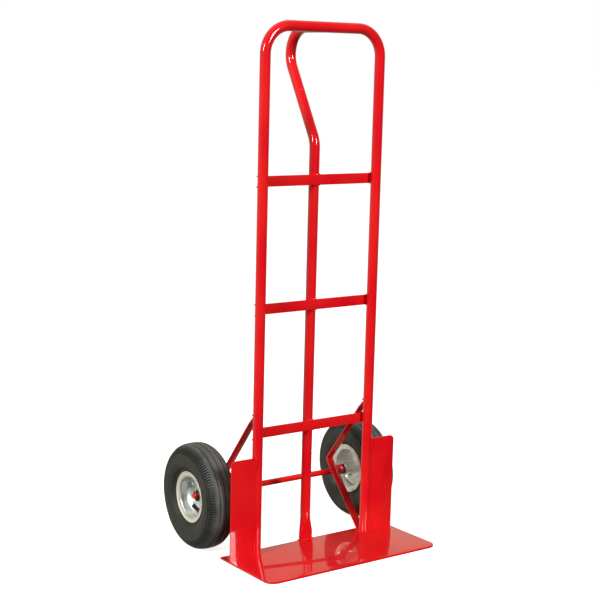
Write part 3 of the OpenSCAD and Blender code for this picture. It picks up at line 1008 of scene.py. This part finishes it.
class HANDTRUCK_OT_split_pins(bpy.types.Operator):
    """Bend the split pins that keep the wheels on the axle"""

    bl_idname = "hand_truck.split_pins"
    bl_label = "Split Pins"

    def execute(self, context):
        low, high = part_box("split_pins")
        wire = 0.00075
        eye, neck = 0.0030, 0.0015
        open_angle = math.degrees(math.acos((wire + neck) / (eye + neck)))
        splay = 52
        lean_out = math.radians(splay)
        leg = high.z - low.z - 2 * eye - 0.0060
        heading = Vector((0, math.sin(lean_out), math.cos(lean_out)))
        pin = Bender(start_ring("split_pins_detail", Vector(), heading, wire, 12), Vector(), heading, X)
        pin.run(0.0035).bend(splay, 0.0015, 5).run(leg)
        leg_y = pin.place.y
        pin.bend(open_angle, neck, 6).bend(-180 - 2 * open_angle, eye, 24).bend(open_angle, neck, 6)
        pin.run(leg).bend(splay, 0.0015, 5).run(0.0035)
        piece = pin.done()
        settle(piece)
        top = max(v.co.z for v in piece.data.vertices)
        piece.location = (high.x - 0.0015, AXLE.y - leg_y - wire, high.z - top)
        settle(piece)
        pair = join("split_pins_detail", [piece, mirrored(piece, "other_pin")])
        smooth(pair, 50)
        hand_over(pair, "frame", "fastener_steel", material("Fastener steel"), "split_pins")
        return {"FINISHED"}


# ------------------------------------------------------------------- weld beads


class WeldGun:
    """Lays overlapping drops of metal, which are then melted into one lumpy bead."""

    def __init__(self, name, seed):
        self.name = name
        self.radius = sizes().weld_radius
        self.random = random.Random(seed)
        self.upright = []
        self.fixed = []

    def drop(self, place, scale=1.0):
        deselect_all()
        size = self.radius * scale * self.random.uniform(0.9, 1.12)
        jitter = Vector([self.random.uniform(-0.12, 0.12) * self.radius for _ in range(3)])
        bpy.ops.mesh.primitive_ico_sphere_add(subdivisions=2, radius=size, location=place + jitter)
        return bpy.context.object

    def places(self, start, end):
        start, end = Vector(start), Vector(end)
        count = max(2, round((end - start).length / (0.95 * self.radius)))
        return [start.lerp(end, k / count) for k in range(count + 1)]

    def line(self, start, end, leaning):
        drops = [self.drop(place) for place in self.places(start, end)]
        (self.upright if leaning else self.fixed).extend(drops)

    def ring(self, centre, radius, plane, leaning, start=0, end=360):
        centre, plane = Vector(centre), Vector(plane)
        spoke = plane.orthogonal().normalized() * radius
        if abs(plane.z) < 0.5:
            spoke = X * radius
        count = round(math.radians(end - start) * radius / (0.95 * self.radius))
        turns = [math.radians(start + (end - start) * k / count) for k in range(count + (end - start < 360))]
        drops = [self.drop(centre + Matrix.Rotation(turn, 3, plane) @ spoke) for turn in turns]
        (self.upright if leaning else self.fixed).extend(drops)

    def melt(self, *nodes):
        """Joins the drops, melts them into one skin and hands the bead over."""
        parts = []
        if self.upright:
            parts.append(lean_back(join(self.name, self.upright)))
        if self.fixed:
            parts.append(settle(join(self.name + "_fixed", self.fixed)))
        bead = join(self.name, parts)
        modify(bead, "REMESH", mode="VOXEL", voxel_size=0.00042)
        modify(bead, "SMOOTH", iterations=3, factor=0.5)
        red_piece(bead, *nodes, degrees=60)


class HANDTRUCK_OT_weld_beads(bpy.types.Operator):
    """Lay the weld beads that hold the frame together"""

    bl_idname = "hand_truck.weld_beads"
    bl_label = "Weld Beads"

    def execute(self, context):
        self.rail_feet()
        self.crossbars()
        self.handle()
        self.guards()
        self.brackets()
        return {"FINISHED"}

    def rail_feet(self):
        gun = WeldGun("rail_foot_welds_detail", 1)
        for side in SIDES.values():
            gun.ring((side * RAIL_X, 0, PLATE_TOP + 0.0004), TUBE_R + 0.0004, Z, False)
        gun.melt("rail_foot_welds")

    def crossbars(self):
        size = sizes()
        gun = WeldGun("crossbar_welds_detail", 2)
        for level in (1, 2, 3):
            for edge in (-1, 1):
                z = level * BAR_PITCH + edge * size.bar_height / 2
                for x in (-RAIL_X, RAIL_X):
                    gun.line((x - 0.007, TUBE_R, z), (x + 0.007, TUBE_R, z), True)
                y = TUBE_R + size.bar_thickness
                gun.line((-0.007, y, z), (0.007, y, z), True)
        gun.melt("crossbar_welds")

    def handle(self):
        size = sizes()
        gun = WeldGun("handle_welds_detail", 3)
        back = PLATE_BACK - 0.0005
        half = size.foot_width / 2
        for y in (back, back - size.foot_thickness):
            gun.line((-half, y, PLATE_TOP), (half, y, PLATE_TOP), False)
        saddle = TUBE_R * 0.84
        for start in (-60, 120):
            gun.ring((0, saddle, LOOP_H), TUBE_R, Y, True, start, start + 120)
        gun.melt("handle_welds")

    def guards(self):
        size = sizes()
        gun = WeldGun("guard_welds_detail", 4)
        seam_x = RAIL_X + TUBE_R * math.cos(math.asin(size.guard_offset / TUBE_R)) + 0.0005
        seam_y = -size.guard_offset - size.guard_thickness / 2
        for side in SIDES.values():
            for low, high in ((0.008, 0.034), (GUARD_H - 0.026, GUARD_H - 0.003)):
                gun.line((side * seam_x, seam_y, low), (side * seam_x, seam_y, high), True)
            for start in (RAIL_X + TUBE_R, GUARD_REACH - 0.025):
                y = size.guard_thickness / 2 - size.guard_offset
                gun.line((side * start, y, PLATE_TOP), (side * (start + 0.022), y, PLATE_TOP), False)
        gun.melt("guard_welds")

    def brackets(self):
        size = sizes()
        gun = WeldGun("bracket_welds_detail", 5)
        half = size.bracket_width / 2
        for x in (-RAIL_X, RAIL_X):
            gun.line((x - half + 0.002, TUBE_R, 0.347), (x + half - 0.002, TUBE_R, 0.347), True)
            gun.line((x - half, 0.0207, PLATE_TOP), (x + half, 0.0207, PLATE_TOP), False)
            y, z = AXLE.y - AXLE_R, AXLE.z + AXLE_R * 0.2
            gun.line((x - half, y, z), (x + half, y, z), False)
        gun.melt("bracket_welds")


# ----------------------------------------------------------------------- wheels

TYRE_MIDDLE = 0.096
TYRE_HALF_H = WHEEL_R - TYRE_MIDDLE
ROUNDNESS = 2.5


def crown(along, half_w=TYRE_W / 2, half_h=TYRE_HALF_H):
    """Radius of the tyre's rounded outline at a distance from its middle plane."""
    return TYRE_MIDDLE + half_h * max(0, 1 - (abs(along) / half_w) ** ROUNDNESS) ** (1 / ROUNDNESS)


def flank(radius, half_w=TYRE_W / 2, half_h=TYRE_HALF_H):
    """Distance of the tyre's rounded outline from its middle plane at a radius."""
    return half_w * max(0, 1 - (abs(radius - TYRE_MIDDLE) / half_h) ** ROUNDNESS) ** (1 / ROUNDNESS)


SIDE_GROOVE = 0.0150
SLOT_FROM = 0.0258
SLOT_DEEP_R = 0.1125
SLOT_END_R = 0.1066
COLUMNS_PER_PITCH = 4
BEAD_R = 0.051
BEAD_X = 0.0242


def tyre_half_profile():
    """Outline of half a tyre, from the crown's middle over the shoulder to the bead and back inside."""
    size = wheel_sizes()
    half = size.groove_width / 2
    points = [(0.0, crown(0.0) - size.groove_depth)]
    for side, groove in ((1, 0.0), (-1, SIDE_GROOVE), (1, SIDE_GROOVE)):
        walls = [(0.55, size.groove_depth), (1.0, 0.0)][::side]
        points += [(groove + side * half * w, crown(groove + side * half * w) - deep) for w, deep in walls]
    points += [(along, crown(along)) for along in (0.0195, 0.0235, SLOT_FROM, 0.0302, 0.0326, 0.0346)]
    points += [(flank(radius), radius) for radius in (0.1150, SLOT_DEEP_R, 0.1095, SLOT_END_R)]
    points += [(flank(0.1058), 0.1058), (flank(0.1049) + 0.0007, 0.1049), (flank(0.1035) + 0.0007, 0.1035)]
    points += [(flank(radius), radius) for radius in (0.1026, 0.098, 0.093, 0.088, 0.0835, 0.0795, 0.0765)]
    points += [(flank(0.0752) + 0.0006, 0.0752), (flank(0.0738) + 0.0006, 0.0738)]
    points += [(flank(0.0724), 0.0724), (flank(0.0704), 0.0704), (0.0285, 0.0672), (0.0252, 0.0630)]
    points += [(BEAD_X, 0.0598), (BEAD_X, BEAD_R + 0.0015), (BEAD_X - 0.0015, BEAD_R), (0.0145, BEAD_R)]
    inner_w = TYRE_W / 2 - size.tyre_wall
    inner_h = TYRE_HALF_H - size.tyre_wall
    points += [(0.0145, 0.0690)]
    points += [(flank(radius, inner_w, inner_h), radius) for radius in (0.0705, 0.078, 0.088, 0.102, 0.114)]
    points += [(along, crown(along, inner_w, inner_h)) for along in (0.020, 0.010)]
    points.append((0.0, crown(0.0, inner_w, inner_h)))
    return points


def tread_column(place):
    """How many lathe steps a place on the tyre lies round from +Y; COLUMNS_PER_PITCH steps make a tread
    pitch.
    """
    turn = math.atan2(place.z - WHEEL.z, place.y - WHEEL.y)
    return turn / math.tau * COLUMNS_PER_PITCH * wheel_sizes().tread_pitches


def distance_from_axle(place):
    return math.hypot(place.y - WHEEL.y, place.z - WHEEL.z)


def sink_slots(tyre, down_to, depth):
    """Sinks the slot half of every tread pitch, from the edge of the tread down to a radius."""
    outer = crown(SLOT_FROM)

    def in_slot(place, face):
        along = abs(place.x - WHEEL.x)
        outwards = face.normal.x * (place.x - WHEEL.x) > 0
        slot_column = math.floor(tread_column(place)) % COLUMNS_PER_PITCH < COLUMNS_PER_PITCH / 2
        on_shoulder = along > SLOT_FROM - 0.004 and down_to < distance_from_axle(place) < outer
        return outwards and slot_column and on_shoulder

    with editing(tyre):
        pick(in_slot)
        bpy.ops.mesh.extrude_region_shrink_fatten(TRANSFORM_OT_shrink_fatten={"value": -depth})


def step_grooves(tyre):
    """Moves the grooves' points to and fro, which turns straight grooves into zigzags."""
    size = wheel_sizes()
    reach = size.groove_width / 2 + 1e-5
    outside = WHEEL_R - size.tyre_wall + 0.0008

    def in_groove(place):
        along = abs(place.x - WHEEL.x)
        return min(along, abs(along - SIDE_GROOVE)) < reach and distance_from_axle(place) > outside

    for column, step in ((1, 1), (3, -1)):
        with editing(tyre, "VERT"):
            pick(lambda p, v: round(tread_column(p)) % COLUMNS_PER_PITCH == column and in_groove(p), "verts")
            bpy.ops.transform.translate(value=(step * size.zigzag, 0, 0))


class HANDTRUCK_OT_tyres(bpy.types.Operator):
    """Turn the tyres and cut their grooves and shoulder slots"""

    bl_idname = "hand_truck.tyres"
    bl_label = "Tyres"

    def execute(self, context):
        size = wheel_sizes()
        half = tyre_half_profile()
        other_half = [(-along, radius) for along, radius in reversed(half[1:-1])]
        tyre = turn_on_lathe("right_tyre_detail", half + other_half, COLUMNS_PER_PITCH * size.tread_pitches)
        step_grooves(tyre)
        sink_slots(tyre, SLOT_END_R, size.slot_depth * 0.35)
        sink_slots(tyre, SLOT_DEEP_R, size.slot_depth * 0.65)
        hand_over_pair(tyre, "tyre", "tyre_rubber", material("Tyre rubber"))
        return {"FINISHED"}


def left_normal(points, k):
    """Normal of a path at one of its points, to the left of its direction."""
    before = Vector(points[k]) - Vector(points[k - 1]) if k else Vector((0, 0))
    after = Vector(points[k + 1]) - Vector(points[k]) if k + 1 < len(points) else Vector((0, 0))
    along = before.normalized() + after.normalized()
    return Vector((-along.y, along.x)).normalized()


def rounded_path(points, radius, steps=6):
    """The path with an arc of the given radius in each of its corners."""
    path = [points[0]]
    for before, corner, after in zip(points, points[1:], points[2:]):
        before, corner, after = Vector(before), Vector(corner), Vector(after)
        u, v = (corner - before).normalized(), (after - corner).normalized()
        turn = math.atan2(u.x * v.y - u.y * v.x, u.dot(v))
        start = corner - u * radius * math.tan(abs(turn) / 2)
        centre = start + Vector((-u.y, u.x)) * math.copysign(radius, turn)
        for k in range(steps + 1):
            path.append(tuple(centre + Matrix.Rotation(turn * k / steps, 2) @ (start - centre)))
    path.append(points[-1])
    return path


def sheet_outline(path, thick):
    """Outline of a bent sheet whose middle follows the path; its far edge is rounded."""
    offsets = [left_normal(path, k) * thick / 2 for k in range(len(path))]
    one = [tuple(Vector(p) + o) for p, o in zip(path, offsets)]
    other = [tuple(Vector(p) - o) for p, o in zip(path, offsets)]
    tip = Vector(path[-1])
    spoke = offsets[-1]
    cap = [tuple(tip + Matrix.Rotation(-math.pi * k / 6, 2) @ spoke) for k in range(1, 6)]
    return one + cap + other[::-1]


def bolt_places():
    """Middle of each rim bolt in the wheel's plane."""
    size = wheel_sizes()
    for k in range(4):
        turn = size.bolt_start + k * math.tau / 4
        yield WHEEL + size.bolt_circle * Vector((0, math.cos(turn), math.sin(turn)))


def rod(name, start, end, radius, sides=32):
    """A plain round bar between two points."""
    deselect_all()
    start, end = Vector(start), Vector(end)
    bpy.ops.mesh.primitive_cylinder_add(
        vertices=sides, radius=radius, depth=(end - start).length, location=(start + end) / 2,
        rotation=Z.rotation_difference(end - start).to_euler(),
    )
    piece = bpy.context.object
    piece.name = name
    return piece


def drill(piece, cutter):
    """Cuts one piece's shape out of another and throws the cutter away."""
    modify(piece, "BOOLEAN", operation="DIFFERENCE", solver="EXACT", object=cutter)
    bpy.data.objects.remove(cutter)
    return piece


VALVE_FOOT = (-0.0005, 0.0665)
VALVE_TIP = (0.024, 0.023)


def valve_point(place):
    """A point on the valve's line, from (distance along the axle, radius)."""
    turn = wheel_sizes().valve_angle
    return WHEEL + Vector((place[0], place[1] * math.cos(turn), place[1] * math.sin(turn)))


class HANDTRUCK_OT_rims(bpy.types.Operator):
    """Press the two halves of each rim and drill them for the bolts and the valve"""

    bl_idname = "hand_truck.rims"
    bl_label = "Rim Halves"

    def execute(self, context):
        size = wheel_sizes()
        half = size.sheet / 2
        seat = size.bead_seat
        path = [
            (half, HUB_R + 0.0031), (half, seat - 0.0085), (0.0070, seat - 0.0015), (0.0250, seat),
            (0.0262, RIM_R - 0.0042), (0.0281, RIM_R - 0.0012),
        ]
        outline = sheet_outline(rounded_path(path, 0.0027), size.sheet)
        bolt_hole = size.bolt_radius + 0.0002
        valve_hole = size.valve_radius + 0.0004
        for part, sign in (("outer", 1), ("inner", -1)):
            profile = [(sign * along, radius) for along, radius in outline]
            rim = turn_on_lathe(f"right_{part}_rim_half_detail", profile, 128)
            holes = [rod("hole", c - X * 0.01, c + X * 0.01, bolt_hole, 24) for c in bolt_places()]
            if part == "outer":
                holes.append(rod("hole", valve_point(VALVE_FOOT), valve_point(VALVE_TIP), valve_hole))
            drill(rim, join("holes", holes))
            hand_over_pair(rim, f"{part}_rim_half", "zinc_plate", material("Plated rim"))
        return {"FINISHED"}


class HANDTRUCK_OT_hubs(bpy.types.Operator):
    """Turn the hub barrels with their bearing seats and weld fillets"""

    bl_idname = "hand_truck.hubs"
    bl_label = "Hubs"

    def execute(self, context):
        size = wheel_sizes()
        outer = HUB_R + 0.003
        seat, bore, deep = HUB_R, HUB_R - 0.003, 0.0072
        face = size.sheet
        edge = 0.0006
        weld = 0.0031
        fillet = arc((face + weld, outer + weld), weld, 180, 270, 5)
        far_fillet = [(-along, radius) for along, radius in reversed(fillet)]
        profile = [(-HUB_IN, seat + edge), (-HUB_IN, outer - edge), (edge - HUB_IN, outer)]
        profile += far_fillet + [(-face, outer), (face, outer)] + fillet
        profile += [
            (HUB_OUT - edge, outer), (HUB_OUT, outer - edge), (HUB_OUT, seat + edge), (HUB_OUT - edge, seat),
            (HUB_OUT - deep, seat), (HUB_OUT - deep, bore), (deep - HUB_IN, bore), (deep - HUB_IN, seat),
            (edge - HUB_IN, seat),
        ]
        hub = turn_on_lathe("right_hub_detail", profile, 96)
        hand_over_pair(hub, "hub", "zinc_plate", material("Plated rim"))
        return {"FINISHED"}


def hexagon(name, near, away, radius):
    """A hexagonal head or nut with cut corners, along the axle's direction."""
    piece = rod(name, near, away, radius, 6)
    settle(piece)
    with editing(piece, "VERT"):
        pick(lambda place, vert: abs(place.x - away.x) < 1e-5, "verts")
        bpy.ops.mesh.bevel(offset=0.0011, segments=1, affect="VERTICES")
    return soften_edges(piece, 0.00025, 2)


def threaded_rod(name, near, away, radius, pitch=0.00125):
    """A bolt's shank with a plain start, then rings that stand for the thread."""
    depth = 0.0006
    plain = 0.004
    span = (near - away).length
    points = [(0, 0), (0, radius), (-plain, radius)]
    turns = int((span - 0.005) / pitch)
    for k in range(turns):
        points += [(-plain - pitch * (k + 0.5), radius - depth), (-plain - pitch * (k + 1), radius)]
    points += [(-span, radius - 0.0009), (-span, 0)]
    return turn_on_lathe(name, points, 32, closed=False, centre=near)


class HANDTRUCK_OT_rim_fasteners(bpy.types.Operator):
    """Make the bolts and nuts that clamp the rim halves"""

    bl_idname = "hand_truck.rim_fasteners"
    bl_label = "Rim Bolts and Nuts"

    def execute(self, context):
        size = wheel_sizes()
        face = size.sheet
        head, nut, corner = 0.0053, 0.0065, 0.0075
        bolts, nuts = [], []
        for k, centre in enumerate(bolt_places()):
            turn = Matrix.Rotation(math.radians(17 * k), 4, X)
            near, far = centre + X * (face + 0.0005), centre - X * (face + 0.0098)
            shank = threaded_rod("shank", near, far, size.bolt_radius)
            cap = hexagon("cap", centre + X * face, centre + X * (face + head), corner)
            nut_piece = hexagon("nut", centre - X * face, centre - X * (face + nut), corner)
            drill(nut_piece, rod("bore", centre - X * 0.02, centre + X * 0.02, size.bolt_radius, 32))
            for piece in (cap, nut_piece):
                piece.data.transform(Matrix.Translation(centre) @ turn @ Matrix.Translation(-centre))
            bolts += [shank, cap]
            nuts.append(nut_piece)
        for part, pieces in (("rim_bolts", bolts), ("rim_nuts", nuts)):
            group = join(f"right_{part}_detail", [settle(piece) for piece in pieces])
            hand_over_pair(group, part, "fastener_steel", material("Fastener steel"))
        return {"FINISHED"}


class HANDTRUCK_OT_valves(bpy.types.Operator):
    """Mould the valve stems and their ribbed caps"""

    bl_idname = "hand_truck.valves"
    bl_label = "Valves"

    def execute(self, context):
        size = wheel_sizes()
        foot, tip = valve_point(VALVE_FOOT), valve_point(VALVE_TIP)
        span = (tip - foot).length
        r = size.valve_radius
        cap_from = span - 0.0089
        stem = [
            (0, 0), (0, r + 0.0024), (0.0016, r + 0.0026), (0.0030, r + 0.0008), (0.0180, r + 0.0001),
            (cap_from - 0.0006, r - 0.0003), (cap_from - 0.0002, r - 0.0009), (cap_from - 0.0002, 0.0026),
            (span - 0.001, 0.0026), (span - 0.001, 0),
        ]
        cap = [
            (cap_from, 0), (cap_from, r - 0.0004), (cap_from + 0.0006, r - 0.0001),
            (span + 0.0012, r - 0.0004), (span + 0.0020, r - 0.0014), (span + 0.0021, 0),
        ]
        turn = X.rotation_difference(tip - foot).to_matrix().to_4x4()
        for part, profile in (("valve_stem", stem), ("valve_cap", cap)):
            piece = settle(turn_on_lathe(f"right_{part}_detail", profile, 48, closed=False, centre=Vector()))
            if part == "valve_cap":
                self.rib(piece, cap_from + 0.0006, span + 0.0012)
            piece.data.transform(Matrix.Translation(foot) @ turn)
            hand_over_pair(piece, part, "valve_rubber", material("Valve rubber"))
        return {"FINISHED"}

    def rib(self, cap, low, high):
        """Raises every other strip of the cap into a grip rib."""
        with editing(cap):
            pick(
                lambda place, face: low < place.x < high
                and abs(face.normal.x) < 0.3
                and math.floor(math.atan2(place.z, place.y) / math.tau * 48) % 3 == 0
            )
            bpy.ops.mesh.extrude_region_shrink_fatten(TRANSFORM_OT_shrink_fatten={"value": 0.0003})


class HANDTRUCK_OT_inner_parts(bpy.types.Operator):
    """Give the inner tubes and the ball bearings their finish"""

    bl_idname = "hand_truck.inner_parts"
    bl_label = "Inner Tubes and Bearings"

    def execute(self, context):
        for name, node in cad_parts.items():
            if "bearing" in name:
                finish = "Bearing steel"
            elif name.endswith("inner_tube"):
                finish = "Inner tube rubber"
            else:
                continue
            for place in node.material_slots:
                place.material = material(finish)
        return {"FINISHED"}


# ------------------------------------------------------------------------ stage


def soft_light(name, place, target, wide, high, power):
    """A rectangular soft box that looks at a target."""
    lamp = bpy.data.lights.new(name, "AREA")
    lamp.shape = "RECTANGLE"
    lamp.size = wide
    lamp.size_y = high
    lamp.energy = power
    holder = bpy.data.objects.new(name, lamp)
    holder.location = place
    holder.rotation_euler = (Vector(target) - Vector(place)).to_track_quat("-Z", "Y").to_euler()
    bpy.context.scene.collection.objects.link(holder)


VIEW_YAW = 0.5968
VIEW_PITCH = -0.14


class HANDTRUCK_OT_stage(bpy.types.Operator):
    """Set up the floor, the soft studio light and the camera"""

    bl_idname = "hand_truck.stage"
    bl_label = "Stage"

    def execute(self, context):
        self.floor()
        self.surroundings()
        self.lights()
        self.camera()
        bpy.context.scene.view_settings.view_transform = "Standard"
        return {"FINISHED"}

    def floor(self):
        deselect_all()
        bpy.ops.mesh.primitive_plane_add(size=60, location=(0, 0, -0.0002))
        floor = bpy.context.object
        floor.name = "floor"
        finish = bpy.data.materials.new("Pale floor")
        finish.use_nodes = True
        shader = finish.node_tree.nodes["Principled BSDF"]
        shader.inputs["Base Color"].default_value = (0.80, 0.80, 0.80, 1)
        shader.inputs["Roughness"].default_value = 0.9
        shader.inputs["Specular IOR Level"].default_value = 0.1
        shader.inputs["Emission Color"].default_value = (1, 1, 1, 1)
        shader.inputs["Emission Strength"].default_value = 0.82
        floor.data.materials.append(finish)
        floor.visible_diffuse = False
        floor.visible_glossy = False

    def surroundings(self):
        """White behind the truck and to its left, darker towards the right and the viewer."""
        world = bpy.data.worlds.new("Studio")
        bpy.context.scene.world = world
        world.use_nodes = True
        tree = world.node_tree
        tree.nodes.clear()
        output = tree.nodes.new("ShaderNodeOutputWorld")
        direction = tree.nodes.new("ShaderNodeTexCoord").outputs["Generated"]
        facing = tree.nodes.new("ShaderNodeVectorMath")
        facing.operation = "DOT_PRODUCT"
        tree.links.new(direction, facing.inputs[0])
        away = Vector((math.sin(VIEW_YAW), math.cos(VIEW_YAW), 0))
        leftwards = Vector((-away.y, away.x, 0))
        facing.inputs[1].default_value = (away * 0.72 + leftwards * 0.58 + Z * 0.30).normalized()
        level = remap(tree, facing.outputs["Value"], -0.60, 0.70, 0.02, 0.58)
        seen = tree.nodes.new("ShaderNodeLightPath").outputs["Is Camera Ray"]
        strength = math_node(tree, "MAXIMUM", level, seen)
        background = tree.nodes.new("ShaderNodeBackground")
        tint = blend_colours(tree, seen, (1.0, 0.93, 0.74, 1), (1, 1, 1, 1))
        tree.links.new(tint, background.inputs["Color"])
        tree.links.new(strength, background.inputs["Strength"])
        tree.links.new(background.outputs["Background"], output.inputs["Surface"])

    def lights(self):
        """Two tall soft boxes, left and right of the camera."""
        middle = Vector((0, 0, 0.40))
        rise = math.radians(24)
        distance = 6
        for name, turn, wide, power in (("key_left", -40, 1.1, 275), ("key_right", 44, 1.2, 310)):
            heading = math.radians(turn) - VIEW_YAW
            level = Vector((math.sin(heading), -math.cos(heading), 0))
            place = middle + distance * (math.cos(rise) * level + math.sin(rise) * Z)
            soft_light(name, place, middle, wide, 1.5 * wide, power)

    def camera(self):
        view = bpy.data.cameras.new("camera")
        view.sensor_width = 36
        view.lens = 79.76
        holder = bpy.data.objects.new("camera", view)
        holder.location = (-1.80656, -2.61045, 1.05669)
        holder.rotation_euler = (math.pi / 2 + VIEW_PITCH, 0, -VIEW_YAW)
        bpy.context.scene.collection.objects.link(holder)
        bpy.context.scene.camera = holder


# ----------------------------------------------------------------------- add-on

OPERATORS = (
    HANDTRUCK_OT_main_loop,
    HANDTRUCK_OT_centre_tube,
    HANDTRUCK_OT_crossbars,
    HANDTRUCK_OT_toe_plate,
    HANDTRUCK_OT_wheel_guards,
    HANDTRUCK_OT_axle_brackets,
    HANDTRUCK_OT_axle,
    HANDTRUCK_OT_washers,
    HANDTRUCK_OT_split_pins,
    HANDTRUCK_OT_weld_beads,
    HANDTRUCK_OT_tyres,
    HANDTRUCK_OT_rims,
    HANDTRUCK_OT_hubs,
    HANDTRUCK_OT_rim_fasteners,
    HANDTRUCK_OT_valves,
    HANDTRUCK_OT_inner_parts,
    HANDTRUCK_OT_stage,
)
SETTINGS = {
    "hand_truck_frame": HandTruckFrameSizes,
    "hand_truck_wheels": HandTruckWheelSizes,
    "hand_truck_colours": HandTruckColours,
}


class VIEW3D_PT_hand_truck(bpy.types.Panel):
    """Sidebar panel with the sizes, the colours and one button for each group of pieces"""

    bl_label = "Hand Truck"
    bl_space_type = "VIEW_3D"
    bl_region_type = "UI"
    bl_category = "Hand Truck"

    def draw(self, context):
        for setting in SETTINGS:
            box = self.layout.box()
            group = getattr(context.scene, setting)
            for name in type(group).__annotations__:
                box.prop(group, name)
        for operator in OPERATORS:
            self.layout.operator(operator.bl_idname)


CLASSES = (*SETTINGS.values(), *OPERATORS, VIEW3D_PT_hand_truck)


def register():
    for made in CLASSES:
        bpy.utils.register_class(made)
    for setting, group in SETTINGS.items():
        setattr(bpy.types.Scene, setting, bpy.props.PointerProperty(type=group))


def unregister():
    for setting in SETTINGS:
        delattr(bpy.types.Scene, setting)
    for made in reversed(CLASSES):
        bpy.utils.unregister_class(made)


def main():
    register()
    for operator in OPERATORS:
        group, name = operator.bl_idname.split(".")
        getattr(getattr(bpy.ops, group), name)()


if __name__ == "__main__":
    main()
